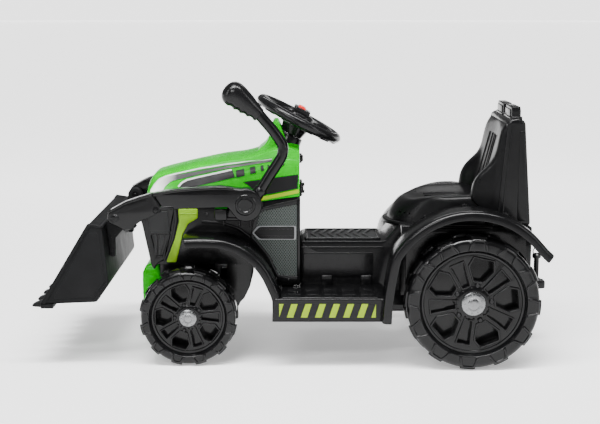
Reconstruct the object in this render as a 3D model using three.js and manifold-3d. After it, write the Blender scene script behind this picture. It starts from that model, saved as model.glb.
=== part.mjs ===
// Ride-on toy front loader: a small four-wheeled tractor with a hand-worked loader bucket.
// Millimetres. X runs forward from the rear axle, Y to the left, Z up from the floor.
// The last step moves the origin to the middle of the object's footprint.
import * as THREE from 'three';
import { mergeVertices } from 'three/addons/utils/BufferGeometryUtils.js';
import Module from 'manifold-3d';

const wasm = await Module();
wasm.setup();

// Driving dimensions
const WHEELBASE = 500;
const REAR_WHEEL = { radius: 120, rim: 93, width: 60, y: 155, cap: 21, hub: 26 };
const FRONT_WHEEL = { radius: 87.5, rim: 68, width: 60, y: 128, cap: 15.5, hub: 19 };
const AXLE_RADIUS = 5;
const GAP = 0.4;
const WALL = 3;
const NOSE_X = 776;
const TAIL_X = -159;

const BODY_HALF = 83;
const KEEL_HALF = 55;
const TUNNEL_HALF = 62;
const REAR_HALF = 96;
const BOARD_OUTER = 175;
const REAR_FENDER_OUTER = 190;
const FRONT_FENDER_OUTER = 172;

const ARM_INNER = 126;
const ARM_OUTER = 156;
const ARM_MIDDLE = (ARM_INNER + ARM_OUTER) / 2;
const PIVOT = { x: 397, z: 290, lobe: 29, shaft: 6 };
const BUCKET_HINGE = { x: 625, z: 267, bolt: 4, eye: 14 };
const BUCKET_HALF = 167;

const COLUMN = { x: 304, z: 427, tilt: -27.9 * Math.PI / 180 };
const STEERING = { rim: 76, tube: 9.5, hub: 28, crank: 26, shaftEnd: -291 };
const KINGPIN = { y: 80, radius: 6, arm: 45 };

// Materials
const plastic = (color, roughness) => new THREE.MeshStandardMaterial({ color, roughness, metalness: 0 });
const metal = (color, roughness) => new THREE.MeshStandardMaterial({ color, roughness, metalness: 1 });
const BLACK = plastic(0x151617, 0.28);
const GREEN = plastic(0x14c814, 0.25);
const GREY = plastic(0x2b2d2f, 0.5);
const MESH_GREY = plastic(0x3c4742, 0.5);
const WHEEL_BLACK = plastic(0x121314, 0.35);
const SILVER = metal(0xc9ccce, 0.3);
const STEEL = metal(0x9a9c9e, 0.35);
const RED = plastic(0xd8201c, 0.35);
const WHITE = plastic(0xd8d8d2, 0.5);

const part = new THREE.Group();

function add(name, geometry, material, parent = part) {
  const mesh = new THREE.Mesh(geometry, material);
  mesh.name = name;
  parent.add(mesh);
  return mesh;
}

// Boolean helpers
function solid(geometry) {
  const bare = geometry.clone();
  bare.deleteAttribute('normal');
  bare.deleteAttribute('uv');
  const merged = mergeVertices(bare, 1e-4);
  return new wasm.Manifold(new wasm.Mesh({
    numProp: 3,
    vertProperties: new Float32Array(merged.attributes.position.array),
    triVerts: new Uint32Array(merged.index.array),
  }));
}

function geometryOf(body) {
  const { vertProperties, triVerts } = body.getMesh();
  const geometry = new THREE.BufferGeometry();
  geometry.setAttribute('position', new THREE.BufferAttribute(vertProperties, 3));
  geometry.setIndex(new THREE.BufferAttribute(triVerts, 1));
  return geometry;
}

const join = (...pieces) => geometryOf(pieces.map(solid).reduce((sum, next) => sum.add(next)));
const cut = (base, ...tools) => geometryOf(tools.map(solid).reduce((rest, next) => rest.subtract(next), solid(base)));

// Outline helpers. A point is [a, b] or [a, b, r], where r rounds the corner.
function outline(points) {
  const shape = new THREE.Shape();
  points.forEach(([a, b, r = 0], i) => {
    const corner = new THREE.Vector2(a, b);
    const before = new THREE.Vector2(...points.at(i - 1).slice(0, 2)).sub(corner).setLength(r).add(corner);
    const next = points[(i + 1) % points.length];
    const after = new THREE.Vector2(next[0], next[1]).sub(corner).setLength(r).add(corner);
    if (i === 0) shape.moveTo(before.x, before.y);
    else shape.lineTo(before.x, before.y);
    if (r > 0) shape.quadraticCurveTo(a, b, after.x, after.y);
  });
  shape.closePath();
  return shape;
}

function arc(x, z, radius, fromDegrees, toDegrees, steps) {
  return Array.from({ length: steps + 1 }, (_, i) => {
    const angle = (fromDegrees + (toDegrees - fromDegrees) * i / steps) * Math.PI / 180;
    return [x + radius * Math.cos(angle), z + radius * Math.sin(angle)];
  });
}

// A copy of a counter-clockwise outline, moved inwards by a wall thickness.
function inset(points, wall) {
  return points.map(([a, b], i) => {
    const [pa, pb] = points.at(i - 1);
    const [na, nb] = points[(i + 1) % points.length];
    const d1 = new THREE.Vector2(a - pa, b - pb).normalize();
    const d2 = new THREE.Vector2(na - a, nb - b).normalize();
    const n1 = new THREE.Vector2(-d1.y, d1.x);
    const n2 = new THREE.Vector2(-d2.y, d2.x);
    const miter = n1.clone().add(n2);
    const scale = 2 * wall / miter.lengthSq();
    return [a + miter.x * scale, b + miter.y * scale];
  });
}

const X = new THREE.Vector3(1, 0, 0);
const Y = new THREE.Vector3(0, 1, 0);
const Z = new THREE.Vector3(0, 0, 1);
const SIDE_ON = new THREE.Matrix4().makeBasis(X, Z, Y.clone().negate());

function extrude(shape, depth, curveSegments) {
  return new THREE.ExtrudeGeometry(shape, { depth, bevelEnabled: false, curveSegments });
}

// A slab whose outline is seen from the side (X, Z), between two Y planes.
function sideSlab(points, y0, y1, curveSegments = 3) {
  const shape = points instanceof THREE.Shape ? points : outline(points);
  const [low, high] = [Math.min(y0, y1), Math.max(y0, y1)];
  return extrude(shape, high - low, curveSegments).applyMatrix4(SIDE_ON).translate(0, high, 0);
}

// A slab whose outline is seen from above (X, Y), between two Z planes.
const planSlab = (points, z0, z1) => extrude(outline(points), z1 - z0, 3).translate(0, 0, z0);

function box(x0, x1, y0, y1, z0, z1) {
  const geometry = new THREE.BoxGeometry(x1 - x0, y1 - y0, z1 - z0);
  return geometry.translate((x0 + x1) / 2, (y0 + y1) / 2, (z0 + z1) / 2);
}

function rodY(x, z, radius, y0, y1, sides = 20) {
  return new THREE.CylinderGeometry(radius, radius, y1 - y0, sides).translate(x, (y0 + y1) / 2, z);
}

function rodZ(x, y, radius, z0, z1, sides = 16, top = radius) {
  const geometry = new THREE.CylinderGeometry(top, radius, z1 - z0, sides).rotateX(Math.PI / 2);
  return geometry.translate(x, y, (z0 + z1) / 2);
}

function rodX(y, z, radius, x0, x1, sides = 16) {
  const geometry = new THREE.CylinderGeometry(radius, radius, x1 - x0, sides).rotateZ(Math.PI / 2);
  return geometry.translate((x0 + x1) / 2, y, z);
}

function tube(points, radius, steps, sides) {
  const path = new THREE.CatmullRomCurve3(points.map((p) => new THREE.Vector3(...p)), false, 'centripetal');
  const section = new THREE.Shape().absarc(0, 0, radius, 0, 2 * Math.PI);
  return new THREE.ExtrudeGeometry(section, { extrudePath: path, steps, curveSegments: sides });
}

// Left and right copies of a piece that is drawn on the left.
const SIDES = [['left', 1], ['right', -1]];
const mirrored = (points, side, y0, y1) => sideSlab(points, side * y0, side * y1);

// A closed skin through rings of points, with flat ends.
function loft(rings) {
  const count = rings[0].length;
  const positions = rings.flat().flatMap((p) => [p.x, p.y, p.z]);
  const index = [];
  for (let i = 0; i < rings.length - 1; i += 1) {
    for (let j = 0; j < count; j += 1) {
      const a = i * count + j;
      const b = i * count + (j + 1) % count;
      index.push(a, b, b + count, a, b + count, a + count);
    }
  }
  const capFaces = THREE.ShapeUtils.triangulateShape(rings[0].map((p) => new THREE.Vector2(p.y, p.z)), []);
  const last = (rings.length - 1) * count;
  for (const [a, b, c] of capFaces) {
    index.push(c, b, a, last + a, last + b, last + c);
  }
  const geometry = new THREE.BufferGeometry();
  geometry.setAttribute('position', new THREE.Float32BufferAttribute(positions, 3));
  geometry.setIndex(index);
  return geometry;
}

// ---- Wheels: one moulded wheel with five window pockets, a bore and a separate silver cap ----

function wheelRim(size) {
  const shape = new THREE.Shape().absarc(0, 0, size.rim + 1, 0, 2 * Math.PI);
  for (let k = 0; k < 5; k += 1) {
    const polar = (share, degrees) => {
      const angle = (k * 72 + degrees) * Math.PI / 180;
      return [share * size.rim * Math.cos(angle), share * size.rim * Math.sin(angle)];
    };
    shape.holes.push(outline([
      polar(0.4, -16), polar(0.66, -24), polar(0.9, -17), polar(0.9, 17), polar(0.66, 24), polar(0.4, 16),
    ]));
  }
  return sideSlab(shape, -size.width / 2 + 12, size.width / 2 - 12, 18);
}

function wheelGeometry(size) {
  const sides = 36;
  const half = size.width / 2;
  const crown = size.radius / Math.cos(Math.PI / sides);
  const profile = [
    [size.rim, -half + 5], [size.rim + 4, -half], [crown - 9, -half], [crown, -half + 9], [crown, half - 9],
    [crown - 9, half], [size.rim + 4, half], [size.rim, half - 5], [size.rim, -half + 5],
  ].map(([r, y]) => new THREE.Vector2(r, y));
  const tread = new THREE.LatheGeometry(profile, sides).rotateY(Math.PI / sides);
  const hub = rodY(0, 0, size.hub, -half + 1, half - 8, 20);
  const web = rodY(0, 0, size.rim + 1, -half + 10, -half + 14, 36);
  const bore = rodY(0, 0, AXLE_RADIUS + GAP, -half - 1, half + 1, 16);
  return cut(join(tread, wheelRim(size), web, hub), bore);
}

function wheels(end, size, axleX) {
  for (const [label, side] of SIDES) {
    const wheel = new THREE.Group();
    wheel.position.set(axleX, side * size.y, size.radius);
    wheel.rotation.z = side > 0 ? 0 : Math.PI;
    part.add(wheel);
    add(`${end}_wheel_${label}`, wheelGeometry(size), WHEEL_BLACK, wheel);
    const face = size.width / 2 - 8 + GAP;
    const cap = new THREE.CylinderGeometry(size.cap * 0.8, size.cap, 5, 24).translate(0, face + 2.5, 0);
    add(`${end}_cap_${label}`, cap, SILVER, wheel);
  }
}

// ---- Chassis ----

const BUMPER = [[560, 92], [592, 92, 6], [592, 150, 8], [578, 163, 6], [562.5, 165]];
const TUNNEL = [[100, 80], [300, 80], [300, 208, 4], [146, 208, 8], [118, 242], [100, 242]];
const REAR_BOX = [[-111, 116], [120, 116], [120, 242], [-111, 242]];

function rearBody() {
  const keel = box(-70, 120, -TUNNEL_HALF, TUNNEL_HALF, 80, 120);
  const outer = join(sideSlab(TUNNEL, -TUNNEL_HALF, TUNNEL_HALF), sideSlab(REAR_BOX, -REAR_HALF, REAR_HALF), keel);
  const inTunnel = box(90, 300 - WALL, -TUNNEL_HALF + WALL, TUNNEL_HALF - WALL, 70, 205);
  const inRear = box(-108, 117, -REAR_HALF + WALL, REAR_HALF - WALL, 119, 239);
  const inKeel = box(-67, 120, -TUNNEL_HALF + WALL, TUNNEL_HALF - WALL, 70, 130);
  const axle = rodY(0, REAR_WHEEL.radius, AXLE_RADIUS + GAP, -100, 100);
  return cut(outer, inTunnel, inRear, inKeel, axle);
}

const BODY_TOP = [[303, 294.5], [368, 285.5], [400, 282.5], [579, 282.5]];
const BODY_SIDE = [[303, 131.5], [352, 131.5], [380, 170], [562, 170], [584, 253], ...BODY_TOP.toReversed()];
const KEEL_SIDE = [
  [388, 146], [394, 122], [404, 101], [418, 86], [440, 84], [475, 100], [475, 128], [525, 128], [525, 100],
  [559, 100], [559, 180], [388, 180],
];

function frontBody() {
  const outer = join(
    sideSlab(BODY_SIDE, -BODY_HALF, BODY_HALF),
    sideSlab(KEEL_SIDE, -KEEL_HALF, KEEL_HALF),
  );
  const inBody = sideSlab(inset(BODY_SIDE, WALL), -BODY_HALF + WALL, BODY_HALF - WALL);
  const mouth = box(306, 576, -BODY_HALF + WALL, BODY_HALF - WALL, 270, 300);
  const inKeel = sideSlab(inset(KEEL_SIDE, WALL), -KEEL_HALF + WALL, KEEL_HALF - WALL);
  const throat = box(390, 556, -KEEL_HALF + WALL, KEEL_HALF - WALL, 160, 190);
  const tieSlots = box(436, 478, -BODY_HALF, BODY_HALF, 136, 166);
  const pivot = rodY(PIVOT.x, PIVOT.z, PIVOT.shaft + 1, -100, 100);
  return cut(outer, inBody, mouth, inKeel, throat, tieSlots, pivot);
}

// The hood's cross-section changes along the length: [x, top, half width at the top, bottom].
const HOOD_STATIONS = [
  [303, 380, 70, 295], [322, 385, 70, 292.5], [345, 382, 69, 289.5], [368, 377, 68, 286], [400, 369, 67, 283],
  [440, 364, 66, 283], [490, 354, 64, 283], [530, 343, 62, 283], [556, 333, 60, 283], [568, 325, 57, 283],
  [579, 300, 55, 283],
];

function hoodRings(inward) {
  return HOOD_STATIONS.map(([x, top, halfTop, bottom], i, all) => {
    const edge = i === 0 ? inward : (i === all.length - 1 ? -inward : 0);
    const low = inward > 0 ? bottom - 5 : bottom;
    const half = BODY_HALF + 1.5 - inward;
    const upper = halfTop - inward;
    const crest = top - inward;
    const shoulder = crest - (crest - bottom) * 0.25;
    const right = [
      [half, low], [half - 1, bottom + 12], [upper + 8, shoulder - 8], [upper + 2, shoulder + 4],
      [upper - 8, crest - 4], [upper * 0.5, crest - 0.5],
    ];
    const left = right.toReversed().map(([y, z]) => [-y, z]);
    return [...right, ...left].map(([y, z]) => new THREE.Vector3(x + edge, y, z));
  });
}

const SHROUD = [[330, 340], [376, 340], [376, 376], [359, 392, 5], [352, 425, 3], [343, 425, 3], [326, 384]];
const BOSS = { top: -33, bottom: -82, upper: 24, lower: 30 };

function inColumn(geometry) {
  return geometry.rotateY(COLUMN.tilt).translate(COLUMN.x, 0, COLUMN.z);
}

function hood() {
  const shroud = sideSlab(SHROUD, -36, 36);
  const outer = join(loft(hoodRings(0)), shroud);
  const hollow = loft(hoodRings(WALL));
  const pivot = rodY(PIVOT.x, PIVOT.z, PIVOT.shaft + 1, -100, 100);
  const column = inColumn(rodZ(0, 0, BOSS.lower + GAP, -110, BOSS.top + 12, 20));
  return cut(outer, hollow, pivot, column);
}

// Running board with the front and rear fenders, in one moulding.
const FRONT_ARCH = [
  [351, 86], [355, 124], [366, 154], [383, 179], [408, 198], [440, 209], [471, 215], [507, 216],
  [507, 231], [442, 232], [400, 217], [368, 188], [345, 148], [336, 127], [336, 86],
];
const FENDER_CENTRE = { x: 5, z: 127, inner: 141.5, outer: 156 };
const REAR_ARCH = [
  [160, 86], [160, 116], [149, 166], ...arc(FENDER_CENTRE.x, FENDER_CENTRE.z, FENDER_CENTRE.outer, 24, 140, 18),
  [-136, 208], [-123, 203], ...arc(FENDER_CENTRE.x, FENDER_CENTRE.z, FENDER_CENTRE.inner, 140, 14, 18),
  [140, 130], [146, 86],
];
const PEDAL = { x: 268, z: 134, barrel: 4, inner: 94, outer: 150 };

function sideMoulding(side) {
  const board = cut(
    mirrored([[146, 86], [351, 86], [347, 128], [150, 128]], side, TUNNEL_HALF + GAP, BOARD_OUTER),
    mirrored([[150, 80], [346, 80], [343, 124], [154, 124]], side, TUNNEL_HALF + WALL, BOARD_OUTER - WALL),
  );
  const front = mirrored(FRONT_ARCH, side, BODY_HALF + 3, FRONT_FENDER_OUTER);
  const rear = mirrored(REAR_ARCH, side, REAR_HALF + 2, REAR_FENDER_OUTER);
  if (side > 0) return join(board, front, rear);
  const socket = mirrored([[258, 127], [278, 127], [278, PEDAL.z], [258, PEDAL.z]], side, PEDAL.inner, PEDAL.outer);
  const groove = rodY(PEDAL.x, PEDAL.z, PEDAL.barrel + GAP, -PEDAL.outer - 1, -PEDAL.inner + 1);
  return join(board, front, rear, cut(socket, groove));
}

function pedal() {
  const plate = [[268, 130.5], [336, 156], [334, 161], [268, 137.5]];
  return join(
    rodY(PEDAL.x, PEDAL.z, PEDAL.barrel, -PEDAL.outer + 2, -PEDAL.inner - 2),
    mirrored([[271, 135.5], ...plate.slice(1)], -1, PEDAL.inner + 2, PEDAL.outer - 2),
  );
}

// Nose grille: a front plate with a slatted panel folded back on each side.
function noseGrille() {
  const face = BODY_HALF + GAP;
  const front = sideSlab([[566.4, 174], [587.5, 253], [582.6, 282], [579.8, 282], [584.7, 253], [563.6, 174]], -face, face);
  const flank = [[547, 178], [564, 178], [585, 253], [581, 278], [526, 278]];
  return join(front, ...SIDES.map(([, side]) => mirrored(flank, side, face, BODY_HALF + 2.2)));
}

const STRIP = [
  [544, 174], [529, 213], [520, 248], [521, 272], [486, 272], [486, 255], [504, 244], [514, 225], [526, 174],
].toReversed();
const MESH_PANEL = [[306, 148], [341, 151], [357, 187], [386, 221], [375, 262], [367, 269], [306, 281]];

function chassis() {
  add('rear_body', rearBody(), BLACK);
  add('front_body', frontBody(), BLACK);
  add('floor_cover', box(-60, 300, -58, 58, 76, 80 - GAP), BLACK);
  add('hood', hood(), GREEN);
  add('nose_grille', noseGrille(), GREY);
  add('front_bumper', sideSlab(BUMPER, -54, 54), GREEN);
  const pad = [[157, -45, 4], [290, -45, 4], [290, 45, 4], [157, 45, 4]];
  add('tread_pad', planSlab(pad, 208 + GAP, 212), GREY);
  const boss = cut(
    rodZ(0, 0, BOSS.lower, BOSS.bottom, BOSS.top, 20, BOSS.upper),
    rodZ(0, 0, AXLE_RADIUS + 0.4, BOSS.bottom - 1, BOSS.top + 1),
  );
  add('column_boss', inColumn(boss), BLACK);
  for (const [label, side] of SIDES) {
    add(`side_moulding_${label}`, sideMoulding(side), BLACK);
    add(`side_strip_${label}`, mirrored(STRIP, side, BODY_HALF + GAP, BODY_HALF + 2), GREEN);
    add(`mesh_panel_${label}`, mirrored(MESH_PANEL, side, BODY_HALF + GAP, BODY_HALF + 2), MESH_GREY);
    const bracket = [[377, BODY_HALF + GAP], [377, 124], [430, 124], [430, 150], [452, 150, 6], [452, BODY_HALF + GAP]]
      .map(([x, y, r = 0]) => [x, side * y, r]);
    add(`pivot_bracket_${label}`, planSlab(bracket, 262, PIVOT.z - PIVOT.shaft - 1.5), BLACK);
  }
}

// ---- Seat ----

const SEAT_PAN = [[-28, 243], [128, 243], [148, 236, 4], [143, 252, 8], [119, 283, 14], [60, 290, 20], [0, 288], [-30, 286]];
const SEAT_CORNER = [[44, 91], [84, 80], [112, 64], [132, 42], [152, 10], [152, 91]];
const SEAT_BACK = [
  [-46, 243], [-29, 243], [-31, 287], [-6, 289], [-6, 312, 8], [-18, 336, 8], [-40, 358, 8], [-50, 392, 8],
  [-58, 418, 6], [-63.6, 430],
];
const SEAT_SHELL = [[-111, 243], [-48, 243], [-66, 432], [-96, 432, 4]];

function seat() {
  const panHollow = box(-20, 100, -60, 60, 238, 278);
  const corners = SIDES.map(([, side]) => planSlab(SEAT_CORNER.map(([x, y]) => [x, side * y]), 230, 300));
  add('seat_pan', cut(sideSlab(SEAT_PAN, -90, 90, 4), panHollow, ...corners), BLACK);
  const between = sideSlab([[-26, 290.5], [60, 290.5], [60, 400], [-53.5, 400]], -66, 66);
  add('seat_back', cut(sideSlab(SEAT_BACK, -95, 95), between), BLACK);
  const posts = SIDES.map(([, side]) => box(-91, -75, side > 0 ? 12.5 : -76.5, side > 0 ? 76.5 : -12.5, 425, 455));
  const shellHollow = sideSlab([[-107, 238], [-53, 238], [-70, 426], [-92, 426]], -94, 94);
  add('seat_shell', cut(join(sideSlab(SEAT_SHELL, -98, 98), ...posts), shellHollow), BLACK);
}

// ---- Drive ----

function drive() {
  add('rear_axle', rodY(0, REAR_WHEEL.radius, AXLE_RADIUS, -172, 172, 16), STEEL);
  const gearbox = sideSlab([[-34, 92, 10], [62, 92, 10], [62, 160, 10], [-34, 160, 10]], -57, -26);
  add('gearbox', cut(gearbox, rodY(0, REAR_WHEEL.radius, AXLE_RADIUS + GAP, -60, -20)), WHITE);
  add('motor', rodY(38, 130, 18, -26 + GAP, 32, 20), STEEL);
  add('battery', box(125, 215, -48, 48, 82, 150), GREY);
}

// ---- Steering ----

function frontAxle() {
  const beam = box(WHEELBASE - 10, WHEELBASE + 10, -89, 89, 105, 128 - GAP);
  const pinHoles = SIDES.map(([, side]) => rodZ(WHEELBASE, side * KINGPIN.y, KINGPIN.radius + GAP, 100, 130));
  add('front_beam', cut(beam, ...pinHoles), BLACK);
  for (const [label, side] of SIDES) {
    const y = side * KINGPIN.y;
    const lever = [
      [WHEELBASE + 8, y - 7, 4], [WHEELBASE + 8, y + 7, 4],
      [WHEELBASE - KINGPIN.arm - 7, y + 7, 4], [WHEELBASE - KINGPIN.arm - 7, y - 7, 4],
    ].toReversed();
    const stubEnds = [y, side * 146];
    add(`knuckle_${label}`, join(
      rodZ(WHEELBASE, y, KINGPIN.radius, 78, 143),
      rodY(WHEELBASE, FRONT_WHEEL.radius, AXLE_RADIUS, Math.min(...stubEnds), Math.max(...stubEnds), 16),
      planSlab(lever, 140, 146),
      rodZ(WHEELBASE - KINGPIN.arm, y, 3, 145, 156, 12),
    ), STEEL);
  }
}

function tieRod() {
  const x = WHEELBASE - KINGPIN.arm;
  const end = KINGPIN.y + 7;
  const bar = planSlab([
    [x - 7, -end, 3], [x + 7, -end, 3], [x + 7, end, 3], [x - 7, end, 3],
    [x - 7, 14], [402, 14, 4], [402, -14, 4], [x - 7, -14],
  ], 146 + GAP, 152);
  const pins = SIDES.map(([, side]) => rodZ(x, side * KINGPIN.y, 3.5, 140, 160, 12));
  const slot = box(410, 436, -4.2, 4.2, 140, 160);
  return cut(bar, ...pins, slot);
}

const BUTTONS = { x: 4, y: 12, halfX: 7, halfY: 5, top: 22.5, floor: 14, face: 20 };

function steeringWheel() {
  const rim = new THREE.TorusGeometry(STEERING.rim, STEERING.tube, 10, 32);
  const hub = join(
    rodZ(0, 0, STEERING.hub - 6, -32, -8, 20, STEERING.hub),
    rodZ(0, 0, STEERING.hub, -9, 10, 20, STEERING.hub - 3),
    box(-14, 18, -22, 22, 5, BUTTONS.face),
  );
  const spokes = [90, 180, 270].map((degrees) => {
    const spoke = box(20, STEERING.rim, -9, 9, -7, 1);
    return spoke.rotateZ(degrees * Math.PI / 180);
  });
  const wells = [1, -1].map((side) => box(
    BUTTONS.x - BUTTONS.halfX - GAP, BUTTONS.x + BUTTONS.halfX + GAP,
    side * BUTTONS.y - BUTTONS.halfY - GAP, side * BUTTONS.y + BUTTONS.halfY + GAP, BUTTONS.floor, 30,
  ));
  return cut(join(rim, hub, ...spokes), ...wells, rodZ(0, 0, AXLE_RADIUS + GAP, -40, -4));
}

function steering() {
  const column = new THREE.Group();
  column.position.set(COLUMN.x, 0, COLUMN.z);
  column.rotation.y = COLUMN.tilt;
  part.add(column);
  add('steering_wheel', steeringWheel(), BLACK, column);
  const end = STEERING.shaftEnd;
  const crank = box(-STEERING.crank - 4, 4, -4, 4, end - 4, end + 4);
  const shaft = join(rodZ(0, 0, AXLE_RADIUS, end, -5), crank, rodZ(-STEERING.crank, 0, 3, end - 18, end, 12));
  add('steering_shaft', shaft, STEEL, column);
  for (const [label, side] of SIDES) {
    const x = BUTTONS.x;
    const y = side * BUTTONS.y;
    const button = box(
      x - BUTTONS.halfX, x + BUTTONS.halfX, y - BUTTONS.halfY, y + BUTTONS.halfY, BUTTONS.floor + 2.5, BUTTONS.top,
    );
    add(`horn_button_${label}`, button, RED, column);
  }
}

// ---- Loader ----

const ARM = [
  [539, 281], [557, 310], [525, 316], [483, 320], [439, 322],
  ...arc(PIVOT.x, PIVOT.z, PIVOT.lobe, 75, 300, 16), [428, 286], [481, 284], [512, 283],
].toReversed();
const ARM_TIP = [
  [557.8, 309.9], [539.8, 280.7], [561, 269], [574, 265], [586, 257], [596, 247, 3], [608, 245, 4], [622, 253],
  [638, 260, 5], [636, 279, 5], [609, 294], [583, 303],
];

function loaderArms() {
  for (const [label, side] of SIDES) {
    const bore = rodY(PIVOT.x, PIVOT.z, PIVOT.shaft + GAP, -200, 200, 16);
    add(`arm_${label}`, cut(mirrored(ARM, side, ARM_INNER, ARM_OUTER), bore), BLACK);
    const eye = rodY(BUCKET_HINGE.x, BUCKET_HINGE.z, BUCKET_HINGE.bolt + GAP, -200, 200, 16);
    add(`arm_tip_${label}`, cut(mirrored(ARM_TIP, side, ARM_INNER, ARM_OUTER), eye), BLACK);
    const [from, to] = side > 0 ? [108, ARM_OUTER + GAP] : [-ARM_OUTER - GAP, -108];
    const [headFrom, headTo] = side > 0 ? [ARM_OUTER + GAP, 159] : [-159, -ARM_OUTER - GAP];
    add(`bucket_bolt_${label}`, join(
      rodY(BUCKET_HINGE.x, BUCKET_HINGE.z, BUCKET_HINGE.bolt, from, to, 16),
      rodY(BUCKET_HINGE.x, BUCKET_HINGE.z, 7.5, headFrom - 0.01, headTo + 0.01, 12),
    ), STEEL);
  }
  add('pivot_shaft', rodY(PIVOT.x, PIVOT.z, PIVOT.shaft, -ARM_OUTER - 2, ARM_OUTER + 2, 16), STEEL);
}

const LEVER_RADIUS = 9.6;
const LEVER_PATH = [[373.1, 310.3], [354.3, 341.3], [339.6, 364.1], [332.2, 382], [335, 398.5], [349, 418.5], [370, 443.4]];
const GRIP_FOOT = { x: 371.5, z: 445, turn: 50.1 };

function lever() {
  const path = LEVER_PATH.map(([x, z]) => [x, ARM_MIDDLE, z]);
  add('lever_tube', tube(path, LEVER_RADIUS, 22, 8), BLACK);
  const grip = [
    [0, 0], [11.6, 0], [12.4, 6], [15.5, 15], [15.6, 22], [18.8, 30], [18.2, 36], [21, 43], [20, 50], [22.4, 56],
    [20.6, 66], [14, 73], [0, 76],
  ].map(([r, y]) => new THREE.Vector2(r, y));
  const handle = new THREE.Group();
  handle.position.set(GRIP_FOOT.x, ARM_MIDDLE, GRIP_FOOT.z);
  handle.rotation.y = GRIP_FOOT.turn * Math.PI / 180;
  part.add(handle);
  add('lever_grip', new THREE.LatheGeometry(grip, 20).rotateX(Math.PI / 2), BLACK, handle);
}

const BUCKET = [[646, 254], [636, 152], [658, 120], [757, 116], [670, 258]];
const BUCKET_INSIDE = [[650, 250.6], [640.3, 152.5], [660, 124], [790, 119], [800, 200], [690, 257.5]];

function bucket() {
  add('bucket', cut(
    sideSlab(BUCKET, -BUCKET_HALF, BUCKET_HALF),
    sideSlab(BUCKET_INSIDE, -BUCKET_HALF + 4, BUCKET_HALF - 4),
  ), GREY);
  const teeth = 7;
  const pitch = 2 * BUCKET_HALF / teeth;
  const edge = [[735, -BUCKET_HALF]];
  for (let i = 0; i < teeth; i += 1) {
    const y = -BUCKET_HALF + i * pitch;
    edge.push([757, y], [757, y + 12], [NOSE_X, y + 17], [NOSE_X, y + pitch - 17], [757, y + pitch - 12]);
  }
  edge.push([757, BUCKET_HALF], [735, BUCKET_HALF]);
  add('bucket_teeth', planSlab(edge, 108, 116 - GAP), GREY);
  const bracket = [
    [639.6, 193], [645.3, 251.5], ...arc(BUCKET_HINGE.x, BUCKET_HINGE.z, BUCKET_HINGE.eye, -10, 190, 10),
    [615, 242], [629, 226], [630, 193],
  ];
  for (const [label, side] of SIDES) {
    const plate = mirrored(bracket, side, 109, ARM_INNER - GAP);
    const eye = rodY(BUCKET_HINGE.x, BUCKET_HINGE.z, BUCKET_HINGE.bolt + GAP, -200, 200, 16);
    add(`bucket_bracket_${label}`, cut(plate, eye), GREY);
  }
}

// ---- Controls on the cowl's rear face, and the hitch ----

const POWER = { y: 30, z: 357 };
const ROCKER = { y: 35, z: 303 };

function controls() {
  const plate = box(299, 303 - GAP, 18, 52, 290, 317);
  const recess = box(298, 302, ROCKER.y - 7.5, ROCKER.y + 7.5, ROCKER.z - 11, ROCKER.z + 11);
  add('switch_bezel', cut(plate, recess), BLACK);
  const rocker = [
    [301.2, ROCKER.z - 2], [301.2, ROCKER.z + 2], [297, ROCKER.z + 9.5, 1], [294, ROCKER.z + 8.5, 1],
    [296.5, ROCKER.z], [294, ROCKER.z - 8.5, 1], [297, ROCKER.z - 9.5, 1],
  ];
  add('direction_rocker', sideSlab(rocker, ROCKER.y - 6.5, ROCKER.y + 6.5), BLACK);
  const ring = cut(rodX(POWER.y, POWER.z, 9, 299, 303 - GAP), rodX(POWER.y, POWER.z, 6.5, 298, 304));
  add('power_bezel', ring, BLACK);
  add('power_button', rodX(POWER.y, POWER.z, 6, 296.5, 300.5), BLACK);
}

function hitch() {
  const pinX = -143;
  const block = planSlab([[TAIL_X, -14, 6], [-111 - GAP, -22], [-111 - GAP, 22], [TAIL_X, 14, 6]], 108, 122);
  add('hitch_block', cut(block, rodZ(pinX, 0, 5.5, 100, 130)), BLACK);
  const collar = rodZ(pinX, 0, 8, 122 + GAP, 126);
  add('hitch_pin', join(rodZ(pinX, 0, 5, 96, 168), collar, rodZ(pinX, 0, 8, 167, 173)), BLACK);
}

chassis();
seat();
drive();
frontAxle();
add('tie_rod', tieRod(), STEEL);
add('pedal', pedal(), GREY);
wheels('front', FRONT_WHEEL, WHEELBASE);
wheels('rear', REAR_WHEEL, 0);
steering();
loaderArms();
lever();
bucket();
controls();
hitch();

part.position.x = -(NOSE_X + TAIL_X) / 2;

export default part;
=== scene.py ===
"""Ride-on toy front loader: detailed pieces, materials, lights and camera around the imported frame."""
import math

import bmesh
import bpy
import numpy as np
from mathutils import Matrix, Vector
from mathutils.bvhtree import BVHTree


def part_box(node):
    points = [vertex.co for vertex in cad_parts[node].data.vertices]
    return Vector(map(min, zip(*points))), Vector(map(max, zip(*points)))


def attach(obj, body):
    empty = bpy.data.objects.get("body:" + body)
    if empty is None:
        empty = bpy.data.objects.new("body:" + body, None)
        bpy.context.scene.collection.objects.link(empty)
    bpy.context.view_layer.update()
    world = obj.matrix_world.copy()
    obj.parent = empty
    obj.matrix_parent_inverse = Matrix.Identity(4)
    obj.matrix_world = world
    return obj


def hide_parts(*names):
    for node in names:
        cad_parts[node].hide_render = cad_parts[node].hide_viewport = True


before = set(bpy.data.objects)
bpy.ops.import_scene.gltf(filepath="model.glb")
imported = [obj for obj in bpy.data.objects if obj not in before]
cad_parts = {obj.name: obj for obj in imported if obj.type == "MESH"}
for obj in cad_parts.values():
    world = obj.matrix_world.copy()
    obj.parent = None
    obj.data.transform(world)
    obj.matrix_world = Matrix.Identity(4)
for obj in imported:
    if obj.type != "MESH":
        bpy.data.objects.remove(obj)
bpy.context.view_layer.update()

# ---------------------------------------------------------------- driving dimensions, mm
MM = 0.001
WHEELBASE = 500
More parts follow.
